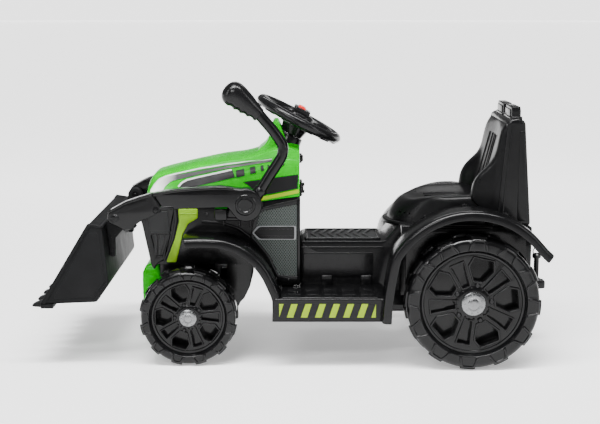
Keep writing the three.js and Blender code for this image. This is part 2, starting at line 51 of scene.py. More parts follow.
WHEEL_FRONT = {"radius": 87.5, "rim": 68, "width": 60, "y": 128, "cap": 15.5, "x": WHEELBASE, "turn": 0}
WHEEL_REAR = {"radius": 120, "rim": 93, "width": 60, "y": 155, "cap": 21, "x": 0, "turn": 41.3}
WINDOWS = 5
WINDOW_STEP = 360 / WINDOWS
LUGS = 12
BODY_HALF = 83
TUNNEL_HALF = 62
BOARD_OUTER = 175
FENDER_OUTER = 190
FENDER_INNER = 98
ARM_INNER, ARM_OUTER = 126, 156
PIVOT = (397, 290)
HINGE = (625, 267)
BUCKET_HALF = 167
COLUMN = (304, 427)
HITCH_X = -143
COLUMN_TILT = math.radians(-27.9)
SIDES = (("left", 1), ("right", -1))

wheel_low, wheel_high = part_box("rear_wheel_left")
AXLE_X = (wheel_low.x + wheel_high.x) / 2


def at(x, y, z):
    """Metres in the row frame, from millimetres forward of the rear axle, left and up."""
    return Vector((AXLE_X + x * MM, y * MM, z * MM))


SIDE_ON = Matrix(((1, 0, 0, AXLE_X), (0, 0, -1, 0), (0, 1, 0, 0), (0, 0, 0, 1)))
PLAN = Matrix.Translation((AXLE_X, 0, 0))
COLUMN_FRAME = Matrix.Translation(at(COLUMN[0], 0, COLUMN[1])) @ Matrix.Rotation(COLUMN_TILT, 4, "Y")


# ---------------------------------------------------------------- mesh tools
BOX_FACES = [(0, 1, 3, 2), (4, 6, 7, 5), (0, 4, 5, 1), (2, 3, 7, 6), (0, 2, 6, 4), (1, 5, 7, 3)]


def link(name, mesh):
    obj = bpy.data.objects.new(name, mesh)
    bpy.context.scene.collection.objects.link(obj)
    return obj


def box_mesh(name, low, high, matrix=Matrix.Identity(4)):
    xs, ys, zs = zip(low, high)
    return mesh_object(name, [matrix @ Vector((x, y, z)) for x in xs for y in ys for z in zs], BOX_FACES)


def mesh_object(name, points, faces):
    mesh = bpy.data.meshes.new(name)
    mesh.from_pydata([tuple(p) for p in points], [], faces)
    return link(name, tidy(mesh))


MERGE = 2e-6


def tidy(mesh):
    """Merges doubled points and turns every face outwards."""
    work = bmesh.new()
    work.from_mesh(mesh)
    bmesh.ops.remove_doubles(work, verts=work.verts, dist=MERGE)
    bmesh.ops.dissolve_degenerate(work, edges=work.edges, dist=MERGE)
    bmesh.ops.recalc_face_normals(work, faces=work.faces)
    work.to_mesh(mesh)
    work.free()
    return mesh


def settle(obj, angle=32):
    """Applies the modifiers and smooths every edge flatter than the angle."""
    graph = bpy.context.evaluated_depsgraph_get()
    mesh = bpy.data.meshes.new_from_object(obj.evaluated_get(graph))
    old = obj.data
    obj.modifiers.clear()
    if obj.type == "CURVE":
        fresh = link(obj.name, mesh)
        fresh.matrix_world = obj.matrix_world
        name = obj.name
        bpy.data.objects.remove(obj)
        fresh.name = name
        obj = fresh
    else:
        obj.data = mesh
        bpy.data.meshes.remove(old)
    tidy(obj.data)
    obj.data.shade_smooth()
    obj.data.set_sharp_from_angle(angle=math.radians(angle))
    return obj


def bake(obj):
    """Moves the object's own transform into its mesh."""
    obj.data.transform(obj.matrix_world)
    obj.matrix_world = Matrix.Identity(4)
    return obj


def modify(obj, kind, **values):
    modifier = obj.modifiers.new(kind.title(), kind)
    for key, value in values.items():
        setattr(modifier, key, value)
    return obj


def bevel(obj, width, segments=3, angle=30):
    modify(obj, "BEVEL", width=width * MM, segments=segments, limit_method="ANGLE",
           angle_limit=math.radians(angle), use_clamp_overlap=True)
    return settle(obj)


def cut(base, others):
    """Takes the other solids out of a base solid."""
    for other in others:
        modify(base, "BOOLEAN", operation="DIFFERENCE", object=other, solver="EXACT")
        base = settle(base)
        bpy.data.objects.remove(other)
    return base


def join(name, objects):
    """One piece made of several closed solids."""
    work = bmesh.new()
    for obj in objects:
        part = obj.data.copy()
        part.transform(obj.matrix_world)
        work.from_mesh(part)
        bpy.data.meshes.remove(part)
    mesh = bpy.data.meshes.new(name)
    work.to_mesh(mesh)
    work.free()
    for obj in objects:
        bpy.data.objects.remove(obj)
    mesh.shade_smooth()
    mesh.set_sharp_from_angle(angle=math.radians(32))
    return link(name, mesh)


def catmull(points, steps):
    """A smooth curve through control points, as a list of points."""
    last = len(points) - 1
    points = [np.array(p, float) for p in points]
    result = []
    for i in range(last):
        p0, p1, p2, p3 = (points[min(max(i + k - 1, 0), last)] for k in range(4))
        for step in range(steps):
            t = step / steps
            result.append(0.5 * (2 * p1 + (p2 - p0) * t + (2 * p0 - 5 * p1 + 4 * p2 - p3) * t ** 2
                                 + (3 * p1 - p0 - 3 * p2 + p3) * t ** 3))
    result.append(points[-1])
    return [tuple(float(v) for v in p) for p in result]


def arc(x, z, radius, start, end, steps):
    angles = [math.radians(start + (end - start) * i / steps) for i in range(steps + 1)]
    return [(x + radius * math.cos(a), z + radius * math.sin(a)) for a in angles]


def rounded(points, steps=5):
    """An outline whose points (a, b, r) have round corners of about radius r."""
    result = []
    for i, point in enumerate(points):
        corner = Vector(point[:2])
        radius = point[2] if len(point) > 2 else 0
        if not radius:
            result.append(tuple(corner))
            continue
        to_last = Vector(points[i - 1][:2]) - corner
        to_next = Vector(points[(i + 1) % len(points)][:2]) - corner
        radius = min(radius, 0.45 * to_last.length, 0.45 * to_next.length)
        to_last, to_next = to_last.normalized() * radius, to_next.normalized() * radius
        for step in range(steps + 1):
            t = step / steps
            result.append(tuple(corner + to_last * (1 - t) ** 2 + to_next * t ** 2))
    return result


def shift(outline, dx, dz):
    return [(x + dx, z + dz) for x, z in outline]


def flat(name, outline, z0, z1, edge, holes, matrix):
    """A plate with rounded edges in the local XY plane, its outline given as rounded() takes it."""
    curve = bpy.data.curves.new(name, "CURVE")
    curve.dimensions = "2D"
    curve.fill_mode = "BOTH"
    curve.extrude = ((z1 - z0) / 2 - edge) * MM
    curve.bevel_depth = edge * MM
    curve.bevel_resolution = 2
    curve.offset = -edge * MM
    for ring in map(rounded, (outline, *holes)):
        spline = curve.splines.new("POLY")
        spline.points.add(len(ring) - 1)
        for point, (x, y) in zip(spline.points, ring):
            point.co = (x * MM, y * MM, 0, 1)
        spline.use_cyclic_u = True
    obj = link(name, curve)
    obj.matrix_world = matrix @ Matrix.Translation((0, 0, (z0 + z1) / 2 * MM))
    bpy.context.view_layer.update()
    return bake(settle(obj))


def plate(name, outline, y0, y1, edge, holes=()):
    """A plate seen side-on, its outline in (x, z), between two Y planes."""
    return flat(name, outline, -max(y0, y1), -min(y0, y1), edge, holes, SIDE_ON)


def wall(name, outline, side, inner, outer, edge, holes=()):
    """A plate on one side of the toy, between two distances from its middle plane."""
    return plate(name, outline, side * inner, side * outer, edge, holes)


def plan_plate(name, outline, z0, z1, edge, holes=()):
    """A plate seen from above, its outline in (x, y)."""
    return flat(name, outline, z0, z1, edge, holes, PLAN)


def block(name, x0, x1, y0, y1, z0, z1, edge, segments=3):
    return bevel(box_mesh(name, at(x0, y0, z0), at(x1, y1, z1)), edge, segments)


def local_block(name, matrix, low, high, edge, segments=2):
    """A block in a frame of its own, from its low to its high corner in mm."""
    obj = box_mesh(name, [v * MM for v in low], [v * MM for v in high], matrix)
    return bevel(obj, edge, segments) if edge else obj


def skin(name, rings, closed=True, caps=True):
    """A skin through rings of points, each ring with the same number of points."""
    count = len(rings[0])
    points = [p for ring in rings for p in ring]
    faces = []
    for i in range(len(rings) - 1):
        for j in range(count if closed else count - 1):
            a, b = i * count + j, i * count + (j + 1) % count
            faces.append((a, b, b + count, a + count))
    if caps:
        faces.append(tuple(range(count)))
        faces.append(tuple(range(len(points) - count, len(points))))
    obj = mesh_object(name, points, faces)
    obj.data.shade_smooth()
    obj.data.set_sharp_from_angle(angle=math.radians(40))
    return obj


def turned_point(radius, angle, height):
    """A point in metres at a radius, angle and height about the local Z axis."""
    return Vector((radius * math.cos(angle), radius * math.sin(angle), height)) * MM


def lathe(name, profile, segments, matrix):
    """Turns a profile of (radius, height) about the local Z axis; an open profile is closed at its ends."""
    angles = [2 * math.pi * k / segments for k in range(segments)]
    rings = [[matrix @ turned_point(r, a, h) for a in angles] for r, h in profile]
    loop = profile[0] == profile[-1]
    if loop:
        rings[-1] = rings[0]
    obj = skin(name, rings, caps=not loop)
    tidy(obj.data)
    obj.data.set_sharp_from_angle(angle=math.radians(35))
    return obj


def along_y(x, y, z, side=1):
    """A frame whose local Z axis points out to the given side."""
    return Matrix.Translation(at(x, y, z)) @ Matrix.Rotation(-side * math.pi / 2, 4, "X")


def pin(name, x, z, radius, y0, y1, edge=0.8, segments=40):
    side = 1 if y1 > y0 else -1
    length = abs(y1 - y0)
    profile = [(0, 0), (radius - edge, 0), (radius, edge), (radius, length - edge),
               (radius - edge, length), (0, length)]
    return lathe(name, profile, segments, along_y(x, y0, z, side))


def tube(name, points, radius, sides=24):
    """A round bar along a smooth path of (x, y, z) in mm."""
    curve = bpy.data.curves.new(name, "CURVE")
    curve.dimensions = "3D"
    curve.bevel_depth = radius * MM
    curve.bevel_resolution = sides // 4
    curve.use_fill_caps = True
    spline = curve.splines.new("POLY")
    spline.points.add(len(points) - 1)
    for point, spot in zip(spline.points, points):
        point.co = (*at(*spot), 1)
    return settle(link(name, curve), 40)


def smoothstep(low, high, value):
    t = min(max((value - low) / (high - low), 0), 1)
    return t * t * (3 - 2 * t)


# ---------------------------------------------------------------- materials
def new_material(name):
    material = bpy.data.materials.new(name)
    material.use_nodes = True
    tree = material.node_tree
    return material, tree, tree.nodes["Principled BSDF"]


def node(tree, kind, values=None, **settings):
    made = tree.nodes.new(kind)
    for key, value in settings.items():
        setattr(made, key, value)
    for key, value in (values or {}).items():
        made.inputs[key].default_value = value
    return made


def texture(tree, kind, scale, stretch=(1, 1, 1), **values):
    """A texture on the object's own coordinates, with its features scale per metre."""
    coordinates = node(tree, "ShaderNodeTexCoord")
    mapping = node(tree, "ShaderNodeMapping", {"Scale": stretch})
    made = node(tree, kind, {"Scale": scale, **values})
    tree.links.new(coordinates.outputs["Object"], mapping.inputs["Vector"])
    tree.links.new(mapping.outputs["Vector"], made.inputs["Vector"])
    return made


def ramp(tree, source, low, high, out_low, out_high):
    made = node(tree, "ShaderNodeMapRange",
                {"From Min": low, "From Max": high, "To Min": out_low, "To Max": out_high})
    tree.links.new(source, made.inputs["Value"])
    return made.outputs["Result"]


def mix_color(tree, factor, first, second):
    made = node(tree, "ShaderNodeMix", data_type="RGBA")
    tree.links.new(factor, made.inputs["Factor"])
    for socket, value in ((6, first), (7, second)):
        if isinstance(value, tuple):
            made.inputs[socket].default_value = (*value, 1)
        else:
            tree.links.new(value, made.inputs[socket])
    return made.outputs[2]


def add_bump(tree, shader, height, distance):
    """Adds a bump on top of the bumps that the shader already has."""
    made = node(tree, "ShaderNodeBump", {"Distance": distance, "Strength": 1})
    tree.links.new(height, made.inputs["Height"])
    last = shader.inputs["Normal"].links
    if last:
        tree.links.new(last[0].from_socket, made.inputs["Normal"])
    tree.links.new(made.outputs["Normal"], shader.inputs["Normal"])


def moulded(name, color, worn, roughness, coat=0.0, grain=0.00004, grain_scale=900, specular=0.17):
    """Moulded plastic: mottled colour, uneven gloss, a fine orange peel and edges rubbed a little lighter."""
    material, tree, shader = new_material(name)
    mottle = texture(tree, "ShaderNodeTexNoise", 26, Detail=5, Roughness=0.6)
    shade = mix_color(tree, ramp(tree, mottle.outputs["Fac"], 0.35, 0.7, 0, 1), color,
                      tuple(min(1, c * 1.35 + 0.001) for c in color))
    geometry = node(tree, "ShaderNodeNewGeometry")
    edge = ramp(tree, geometry.outputs["Pointiness"], 0.52, 0.6, 0, 0.55)
    tree.links.new(mix_color(tree, edge, shade, worn), shader.inputs["Base Color"])
    smear = texture(tree, "ShaderNodeTexNoise", 60, stretch=(1, 1, 0.4), Detail=6, Roughness=0.7)
    gloss = ramp(tree, smear.outputs["Fac"], 0.3, 0.75, roughness - 0.04, roughness + 0.08)
    tree.links.new(gloss, shader.inputs["Roughness"])
    peel = texture(tree, "ShaderNodeTexNoise", grain_scale, Detail=2)
    add_bump(tree, shader, peel.outputs["Fac"], grain)
    flow = texture(tree, "ShaderNodeTexNoise", 14, Detail=1)
    add_bump(tree, shader, flow.outputs["Fac"], 0.0006)
    shader.inputs["Coat Weight"].default_value = coat
    shader.inputs["Coat Roughness"].default_value = 0.07
    shader.inputs["Specular IOR Level"].default_value = specular
    return material


def metallic(name, color, roughness, stretch=(1, 1, 1)):
    material, tree, shader = new_material(name)
    shader.inputs["Metallic"].default_value = 1
    lines = texture(tree, "ShaderNodeTexNoise", 420, stretch=stretch, Detail=4)
    tree.links.new(ramp(tree, lines.outputs["Fac"], 0.3, 0.7, roughness * 0.7, roughness * 1.5),
                   shader.inputs["Roughness"])
    stain = texture(tree, "ShaderNodeTexNoise", 55, Detail=4)
    tree.links.new(mix_color(tree, ramp(tree, stain.outputs["Fac"], 0.4, 0.75, 0, 1), color,
                             tuple(c * 0.82 for c in color)), shader.inputs["Base Color"])
    add_bump(tree, shader, lines.outputs["Fac"], 0.00003)
    return material


def sticker(name, color):
    """Printed vinyl: an even colour with faint print grain and a soft sheen."""
    material, tree, shader = new_material(name)
    grain = texture(tree, "ShaderNodeTexNoise", 1500, Detail=2)
    tree.links.new(mix_color(tree, ramp(tree, grain.outputs["Fac"], 0.35, 0.65, 0, 1), color,
                             tuple(c * 0.88 for c in color)), shader.inputs["Base Color"])
    cloud = texture(tree, "ShaderNodeTexNoise", 40, Detail=3)
    tree.links.new(ramp(tree, cloud.outputs["Fac"], 0.3, 0.7, 0.28, 0.4), shader.inputs["Roughness"])
    add_bump(tree, shader, grain.outputs["Fac"], 0.00001)
    shader.inputs["Specular IOR Level"].default_value = 0.2
    return material


def fading_sticker():
    """Black vinyl that fades to white towards the nose."""
    material, tree, shader = new_material("sticker_fade")
    place_in = node(tree, "ShaderNodeTexCoord")
    parts = node(tree, "ShaderNodeSeparateXYZ")
    tree.links.new(place_in.outputs["Object"], parts.inputs["Vector"])
    fade = ramp(tree, parts.outputs["X"], at(524, 0, 0).x, at(562, 0, 0).x, 0, 1)
    tree.links.new(mix_color(tree, fade, (0.012, 0.012, 0.013), (0.8, 0.8, 0.8)),
                   shader.inputs["Base Color"])
    cloud = texture(tree, "ShaderNodeTexNoise", 40, Detail=3)
    tree.links.new(ramp(tree, cloud.outputs["Fac"], 0.3, 0.7, 0.28, 0.4), shader.inputs["Roughness"])
    return material


BLACK = moulded("black_plastic", (0.0018, 0.0018, 0.002), (0.007, 0.007, 0.0075), 0.15, coat=0.07)
BODY_BLACK = moulded("body_black", (0.0018, 0.0018, 0.002), (0.008, 0.008, 0.0085), 0.19, coat=0.05,
                     grain=0.00005)
SEAT_BLACK = moulded("seat_black", (0.0018, 0.0018, 0.002), (0.007, 0.007, 0.0075), 0.3, specular=0.13)
WHEEL_BLACK = moulded("wheel_black", (0.002, 0.002, 0.0022), (0.008, 0.008, 0.0085), 0.16, coat=0.1,
                      grain=0.00004)
GREEN = moulded("green_plastic", (0.0, 0.27, 0.0), (0.0, 0.33, 0.0), 0.27, grain=0.00002, specular=0.08)
STRIP_GREEN = moulded("strip_green", (0.15, 0.3, 0.0), (0.2, 0.38, 0.01), 0.32, coat=0.04)
GREY = moulded("bucket_grey", (0.0035, 0.0036, 0.0039), (0.018, 0.018, 0.019), 0.5, grain=0.0001,
               grain_scale=600, specular=0.09)
GRILLE_GREY = moulded("grille_grey", (0.009, 0.0093, 0.0097), (0.035, 0.035, 0.035), 0.32)
RUBBERY = moulded("grip_black", (0.003, 0.003, 0.0033), (0.01, 0.01, 0.01), 0.2, coat=0.06, grain=0.00008,
                  grain_scale=1300)
RED = moulded("red_plastic", (0.5, 0.004, 0.002), (0.7, 0.04, 0.03), 0.25, coat=0.1)
NYLON = moulded("white_nylon", (0.6, 0.6, 0.56), (0.7, 0.7, 0.66), 0.45)
MESH = moulded("diamond_mesh", (0.01, 0.013, 0.012), (0.02, 0.024, 0.022), 0.5)
# Same plastic as the mesh panel, coloured lighter: painted highlight for the light the raised threads catch.
PAINTED_LIT_THREAD = moulded("mesh_thread_painted_light", (0.04, 0.049, 0.045), (0.08, 0.09, 0.085), 0.42)
CHROME = metallic("cap_chrome", (0.2, 0.203, 0.206), 0.26)
STEEL = metallic("zinc_steel", (0.3, 0.3, 0.305), 0.3, stretch=(1, 6, 1))
STICKER_BLACK = sticker("sticker_black", (0.004, 0.004, 0.0045))
STICKER_WHITE = sticker("sticker_white", (0.6, 0.6, 0.6))
STICKER_SILVER = sticker("sticker_silver", (0.2, 0.205, 0.21))
STICKER_LIME = sticker("sticker_lime", (0.22, 0.34, 0.0))
STICKER_FADE = fading_sticker()


def place(name, solids, body, material, slot, *replaced):
    """Joins solids into one piece, gives it a material and a body, and hides the CAD nodes it stands for; the
    slot argument is not used.
    """
    obj = join(name, solids)
    obj.data.materials.clear()
    obj.data.materials.append(material)
    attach(obj, body)
    if replaced:
        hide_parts(*replaced)


def dress(name, material, width=0.8):
    """Keeps a CAD node as it is, with rounded edges and a finished material."""
    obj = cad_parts[name]
    obj.data.materials.clear()
    obj.data.materials.append(material)
    modify(obj, "WELD", merge_threshold=MERGE)
    modify(obj, "BEVEL", width=width * MM, segments=2, limit_method="ANGLE",
           angle_limit=math.radians(32), use_clamp_overlap=True)
    obj.data.shade_smooth()


# ---------------------------------------------------------------- wheels
def tyre_rows(size):
    """Rows from rim to middle: radius, height, the normal's two parts, lug half width, frame and pocket lift."""
    rim, half, base = size["rim"], size["width"] / 2, size["radius"] - 3.6
    scale = size["radius"] / WHEEL_REAR["radius"]
    turn = 0.37 * (size["radius"] - rim)
    side = half - 2
    rows = [
        (rim - 1, half - 9, 0, 1, 18, 0, 0),
        (rim + 0.5, half - 4.5, 0, 1, 18, 0, 0),
        (rim + 1.6, half - 2.6, 0, 1, 17.6, 0, 0),
        (rim + 2.6, side, 0, 1, 17.2, 0, 0),
        (rim + 3.4, side, 0, 1, 16.8, 2.4, 0),
        (base - turn, side, 0, 1, 14.6, 2.4, 0),
    ]
    shoulder = ((16, 13.4, 2.4, 0), (28, 12.6, 2.4, 0.1), (33, 12.2, 2.4, 2.4), (46, 11.4, 2.4, 2.4),
                (50, 11.2, 0, 0), (66, 13, 0, 0), (72, 13, 3.0, 3.0), (90, 12.6, 3.5, 3.5))
    for degrees, lug, frame_lift, pocket_lift in shoulder:
        angle = math.radians(degrees)
        rows.append((base - turn + turn * math.sin(angle), side - turn + turn * math.cos(angle),
                     math.sin(angle), math.cos(angle), lug, frame_lift, pocket_lift))
    flat_end = side - turn
    rows += [(base, flat_end * 0.55, 1, 0, 11.5, 3.6, 3.6), (base, 2.6, 1, 0, 10, 3.6, 3.6),
             (base, 1.8, 1, 0, 10, 0, 0), (base, 0, 1, 0, 10, 0, 0)]
    return [(r, h, nr, nh, lug * scale, a, b) for r, h, nr, nh, lug, a, b in rows]


def tyre(name, size, matrix):
    """Twelve framed lugs on each side, the inner side half a step round, as one closed skin."""
    step = 360 / LUGS
    rings = []
    rows = tyre_rows(size)
    both = [(row, 1) for row in rows] + [(row, -1) for row in reversed(rows[:-1])]
    for (r, h, nr, nh, lug, frame_lift, pocket_lift), hand in both:
        ring = []
        edge, inner = lug + 0.9, lug - 3.4
        reach = math.radians(step / 2) * r
        between = (reach + edge) / 2
        columns = [(-reach, 0), (-between, 0), (-edge, 0), (-lug, frame_lift), (-inner, frame_lift),
                   (-inner + 1, pocket_lift), (-inner / 2, pocket_lift), (0, pocket_lift),
                   (inner / 2, pocket_lift), (inner - 1, pocket_lift), (inner, frame_lift),
                   (lug, frame_lift), (edge, 0), (between, 0)]
        count = len(columns)
        for index in range(LUGS * count):
            lug_index, column = divmod(index if hand > 0 else index + count // 2, count)
            offset, lift = columns[column]
            angle = math.radians(step * (lug_index + 0.5 - (0 if hand > 0 else 0.5))) + offset / r
            ring.append(matrix @ turned_point(r + lift * nr, angle, hand * (h + lift * nh)))
        rings.append(ring)
    count = len(rings[0])
    for height in (-size["width"] / 2 + 12, size["width"] / 2 - 12):
        angles = [2 * math.pi * (k + 0.5) / count for k in range(count)]
        rings.append([matrix @ turned_point(size["rim"] - 4, a, height) for a in angles])
    obj = skin(name, rings + [rings[0]], caps=False)
    return bevel(obj, 0.45, 2, angle=28)


def polar(radius, degrees):
    return radius * math.cos(math.radians(degrees)), radius * math.sin(math.radians(degrees))


def window_outline(size, k, grow=0.0):
    """One six-sided window of the rim, or its frame when it is grown."""
    rim = size["rim"]
    corners = [(0.44, -11.5), (0.71, -18.5), (0.87, -12), (0.87, 12), (0.71, 18.5), (0.44, 11.5)]
    centre = Vector(polar(0.66 * rim, WINDOW_STEP * k))
    points = []
    for share, degrees in corners:
        corner = Vector(polar(share * rim, WINDOW_STEP * k + degrees))
        points.append((*(corner + (corner - centre).normalized() * grow), 1.4))
    return rounded(points, 2)


def slot_outline(size, k, grow=0.0):
    """The pocket along one arm that widens outwards, or the ribs round it when it is grown."""
    scale = size["radius"] / WHEEL_REAR["radius"]
    angle = math.radians(WINDOW_STEP * (k + 0.5))
    along, across = Vector((math.cos(angle), math.sin(angle))), Vector((-math.sin(angle), math.cos(angle)))
    points = []
    for share, width in ((0.34, -6.2), (0.80, -11.6), (0.80, 11.6), (0.34, 6.2)):
        reach = share * size["rim"] + math.copysign(grow, share - 0.5)
        points.append((*(along * reach + across * (width * scale + math.copysign(grow, width))), 1.5))
    return rounded(points, 3)


def wheel(end, size, label, side):
    name = f"{end}_wheel_{label}"
    turned = Matrix.Rotation(math.radians(side * size["turn"]), 4, "Z")
    matrix = along_y(size["x"], side * size["y"], size["radius"], side) @ turned
    rim, hub = size["rim"], size["cap"] + 5
    scale = size["radius"] / WHEEL_REAR["radius"]
    circle = [polar(rim - 1.6, 5 * k) for k in range(72)]
    windows = [window_outline(size, k) for k in range(WINDOWS)]
    slots = [slot_outline(size, k) for k in range(WINDOWS)]
    pieces = [
        tyre(name, size, matrix),
        flat("face", circle, 9, 18, 1.2, windows + slots, matrix),
        flat("web", circle, -3, 9.5, 0.8, windows, matrix),
        flat("back", circle, -9, -2, 0.8, (), matrix),
        lathe("lip", [(rim - 7.5, 12), (rim - 7.5, 18.6), (rim - 6.2, 20.2), (rim - 3.2, 20.6),
                      (rim - 1.8, 19.4), (rim - 1.8, 12), (rim - 7.5, 12)], 96, matrix),
        lathe("well", [(rim - 6, -18), (rim - 1.2, -18), (rim - 1.2, 14), (rim - 6, 14), (rim - 6, -18)],
              96, matrix),
        lathe("hub", [(5.8, -29), (hub - 2, -29), (hub, -27), (hub, 10), (hub + 5 * scale, 17),
                      (hub + 4 * scale, 19.5), (hub + 1, 21), (hub - 3.5, 22), (5.8, 22), (5.8, -29)], 72,
              matrix),
    ]
    for k in range(WINDOWS):
        frame_edge, rib_edge = window_outline(size, k, 4.2 * scale), slot_outline(size, k, 2.6 * scale)
        pieces.append(flat("frame", frame_edge, 16, 20.8, 1.4 * scale, [windows[k]], matrix))
        pieces.append(flat("rib", rib_edge, 16, 21, 0.8 * scale, [slots[k]], matrix))
        for reach, turn, radius in ((0.35, 0, 4.6), (0.31, 20, 2.1), (0.31, -20, 2.1), (0.33, 36, 2)):
            x, y = polar(reach * rim, WINDOW_STEP * k + turn)
            spot = matrix @ Matrix.Translation((x * MM, y * MM, 0))
            r = radius * scale
            pieces.append(lathe("bolt", [(0, 16), (r, 16), (r, 21.4), (r * 0.7, 23), (0, 23.4)], 16, spot))
    place(name, pieces, f"wheel_{end}_{label}", WHEEL_BLACK, "wheel_plastic", name)


def wheel_cap(end, size, label, side):
    name = f"{end}_cap_{label}"
    matrix = along_y(size["x"], side * size["y"], size["radius"], side)
    cap = size["cap"]
    profile = [(0, 22.5), (cap - 0.4, 22.5), (cap, 23), (cap + 0.2, 24.5), (cap - 0.6, 26),
               (cap - 2.2, 26.9), (cap * 0.6, 27.9), (cap * 0.52, 27.5), (cap * 0.48, 27.4),
               (cap * 0.44, 28.1), (cap * 0.2, 28.8), (0, 28.9)]
    pieces = [lathe(name, profile, 72, matrix)]
    for k in range(9):
        x, y = polar(cap * 0.74, 40 * k)
        spot = matrix @ Matrix.Translation((x * MM, y * MM, 0))
        pieces.append(lathe("stud", [(0, 26), (1.5, 26), (1.45, 27.9), (0.9, 28.6), (0, 28.8)], 14, spot))
    place(name, pieces, f"wheel_{end}_{label}", CHROME, "cap_chrome", name)


# ---------------------------------------------------------------- hood and its stickers
HOOD_STATIONS = [
    (303, 380, 70, 295), (322, 385, 70, 292.5), (345, 382, 69, 289.5), (368, 375, 68, 286),
    (400, 365.5, 67, 283), (440, 360.3, 66, 283), (490, 350.3, 64, 283), (530, 341, 62, 283),
    (553, 335, 60, 283), (567, 330, 57, 283), (576, 317, 55, 283), (580, 299, 53, 283),
]
HOOD_RIB = [(330, 366), (420, 351), (520, 332.5)]


def hood_ring(x, top, half_top, bottom, squeeze=0.0):
    shoulder = top - (top - bottom) * 0.25
    right = [
        (84.5, bottom), (84.4, bottom + 5), (83.4, bottom + 13), (half_top + 9, shoulder - 10),
        (half_top + 4, shoulder + 1), (half_top - 1, top - 7), (half_top - 8, top - 2.6),
        (half_top * 0.55, top - 0.6), (half_top * 0.2, top),
    ]
    half = catmull([(y - squeeze, z) for y, z in right], 3)
    both = half + [(-y, z) for y, z in reversed(half)]
    return [at(x, y, z) for y, z in both]


def hood():
    rings = [hood_ring(*station) for station in catmull(HOOD_STATIONS, 5)]
    rings.append(hood_ring(581.5, 288, 50, 283, 2))
    shell = skin("hood", rings, closed=False, caps=True)
    sides = BVHTree.FromObject(shell, bpy.context.evaluated_depsgraph_get())
    modify(shell, "SOLIDIFY", thickness=2.6 * MM, offset=-1)
    shell = settle(shell)
    levels = [(336, 384, 321, 47), (366, 383, 321, 46), (374, 377, 322, 44.5), (383, 366, 325, 42),
              (392, 360, 328, 38.5), (405, 356.5, 333, 34), (418, 353.5, 338.5, 30.5),
              (424, 351, 341, 28.5), (426, 348.5, 343, 26)]
    rings = []
    for z, front, rear, half in levels:
        corner = min(7, (front - rear) / 2.3)
        box = [(front, -half, corner), (front, half, corner), (rear, half, corner), (rear, -half, corner)]
        rings.append([at(x, y, z) for x, y in rounded(box, 5)])
    tower = bevel(skin("tower", rings), 0.8, 2)
    for target in (shell, tower):
        bore = lathe("bore", [(0, -118), (30.6, -118), (30.6, -20), (0, -20)], 48, COLUMN_FRAME)
        cut(target, [bore])
    pieces = [shell, tower]
    for _, side in SIDES:
        line = [(x, side * 74.5 * (1 - 0.0006 * (x - 330)), z) for x, z in HOOD_RIB]
        pieces.append(tube("rib", line, 0.7))
    place("hood", pieces, "chassis", GREEN, "green_plastic", "hood")
    return sides


def decal(name, outline, side, surface, lift):
    """A thin sticker whose outline, in (x, z), is laid on the hood's flank."""
    work = bmesh.new()
    work.faces.new([work.verts.new((AXLE_X + x * MM, 0, z * MM)) for x, z in outline])
    cuts = [(at(x, 0, 0), (1, 0, 0)) for x in range(300, 580, 6)]
    cuts += [(at(0, 0, z), (0, 0, 1)) for z in range(284, 380, 6)]
    for spot, normal in cuts:
        parts = work.verts[:] + work.edges[:] + work.faces[:]
        bmesh.ops.bisect_plane(work, geom=parts, plane_co=spot, plane_no=normal)
    for vert in work.verts:
        spot, normal = surface.ray_cast(Vector((vert.co.x, side * 0.3, vert.co.z)),
                                        Vector((0, -side, 0)))[:2]
        if spot is None:
            spot, normal = Vector((vert.co.x, side * 0.0845, vert.co.z)), Vector((0, side, 0))
        vert.co = spot + normal * (lift if normal.y * side > 0 else -lift) * MM
    mesh = bpy.data.meshes.new(name)
    work.to_mesh(mesh)
    work.free()
    obj = link(name, mesh)
    modify(obj, "SOLIDIFY", thickness=(lift + 0.25) * MM * 2, offset=0)
    return settle(obj)


SWOOSH_TOP = [(572, 300), (566, 311), (557, 321), (545, 326.5), (530, 330.5), (484, 341), (434, 349.5),
              (352, 359.5)]
SWOOSH_LOW = [(352, 356), (434, 343), (484, 332), (530, 321), (539, 317.5), (545, 312), (549, 302)]
BAND_TOP = [(520, 309), (514, 316), (505, 321), (490, 325), (462, 331.5), (423, 340)]
BAND_LOW = [(419, 328), (460, 318.5), (495, 311), (512, 308)]
WEDGE = [(404, 320), (306, 334), (306, 309), (360, 298), (375, 301)]


def stickers(label, side, surface):
    def lay(name, outlines, material, slot, lift):
        pieces = [decal(name, outline, side, surface, lift) for outline in outlines]
        place(f"{name}_{label}", pieces, "chassis", material, slot)

    dark = [BAND_TOP + BAND_LOW, WEDGE]
    for x, width, height in ((401, 15, 12), (381, 10, 11), (366.5, 5, 9.5), (356, 3, 7.5), (330, 6, 4.5)):
        z = 331 + (401 - x) * 0.235 + (12 - height) * 0.4
        fall = 0.22 * width
        dark.append([(x, z), (x + width, z - fall), (x + width + 1.5, z + height - fall),
                     (x + 1.5, z + height)])
    white_swoosh = shift(SWOOSH_TOP, 0.5, 2.2) + [(352, 357.5), (434, 346), (484, 335.5), (530, 325),
                                                  (552, 304)]
    white_band = shift(BAND_TOP, 2.2, 2.4) + [(423, 338), (462, 329), (500, 319), (514, 306)]
    lay("white_edges", [white_swoosh, white_band, [(398, 303.6), (312, 319.5), (312, 317.8), (396, 302)]],
        STICKER_WHITE, "white_plastic", 0.2)
    lay("swoosh", [SWOOSH_TOP + SWOOSH_LOW], STICKER_FADE, "black_plastic", 0.38)
    lay("dark_marks", dark, STICKER_BLACK, "black_plastic", 0.38)
    lay("lime_line", [[(372, 293.5), (304, 307.5), (304, 300.5), (372, 287)]], STICKER_LIME,
        "green_plastic", 0.3)


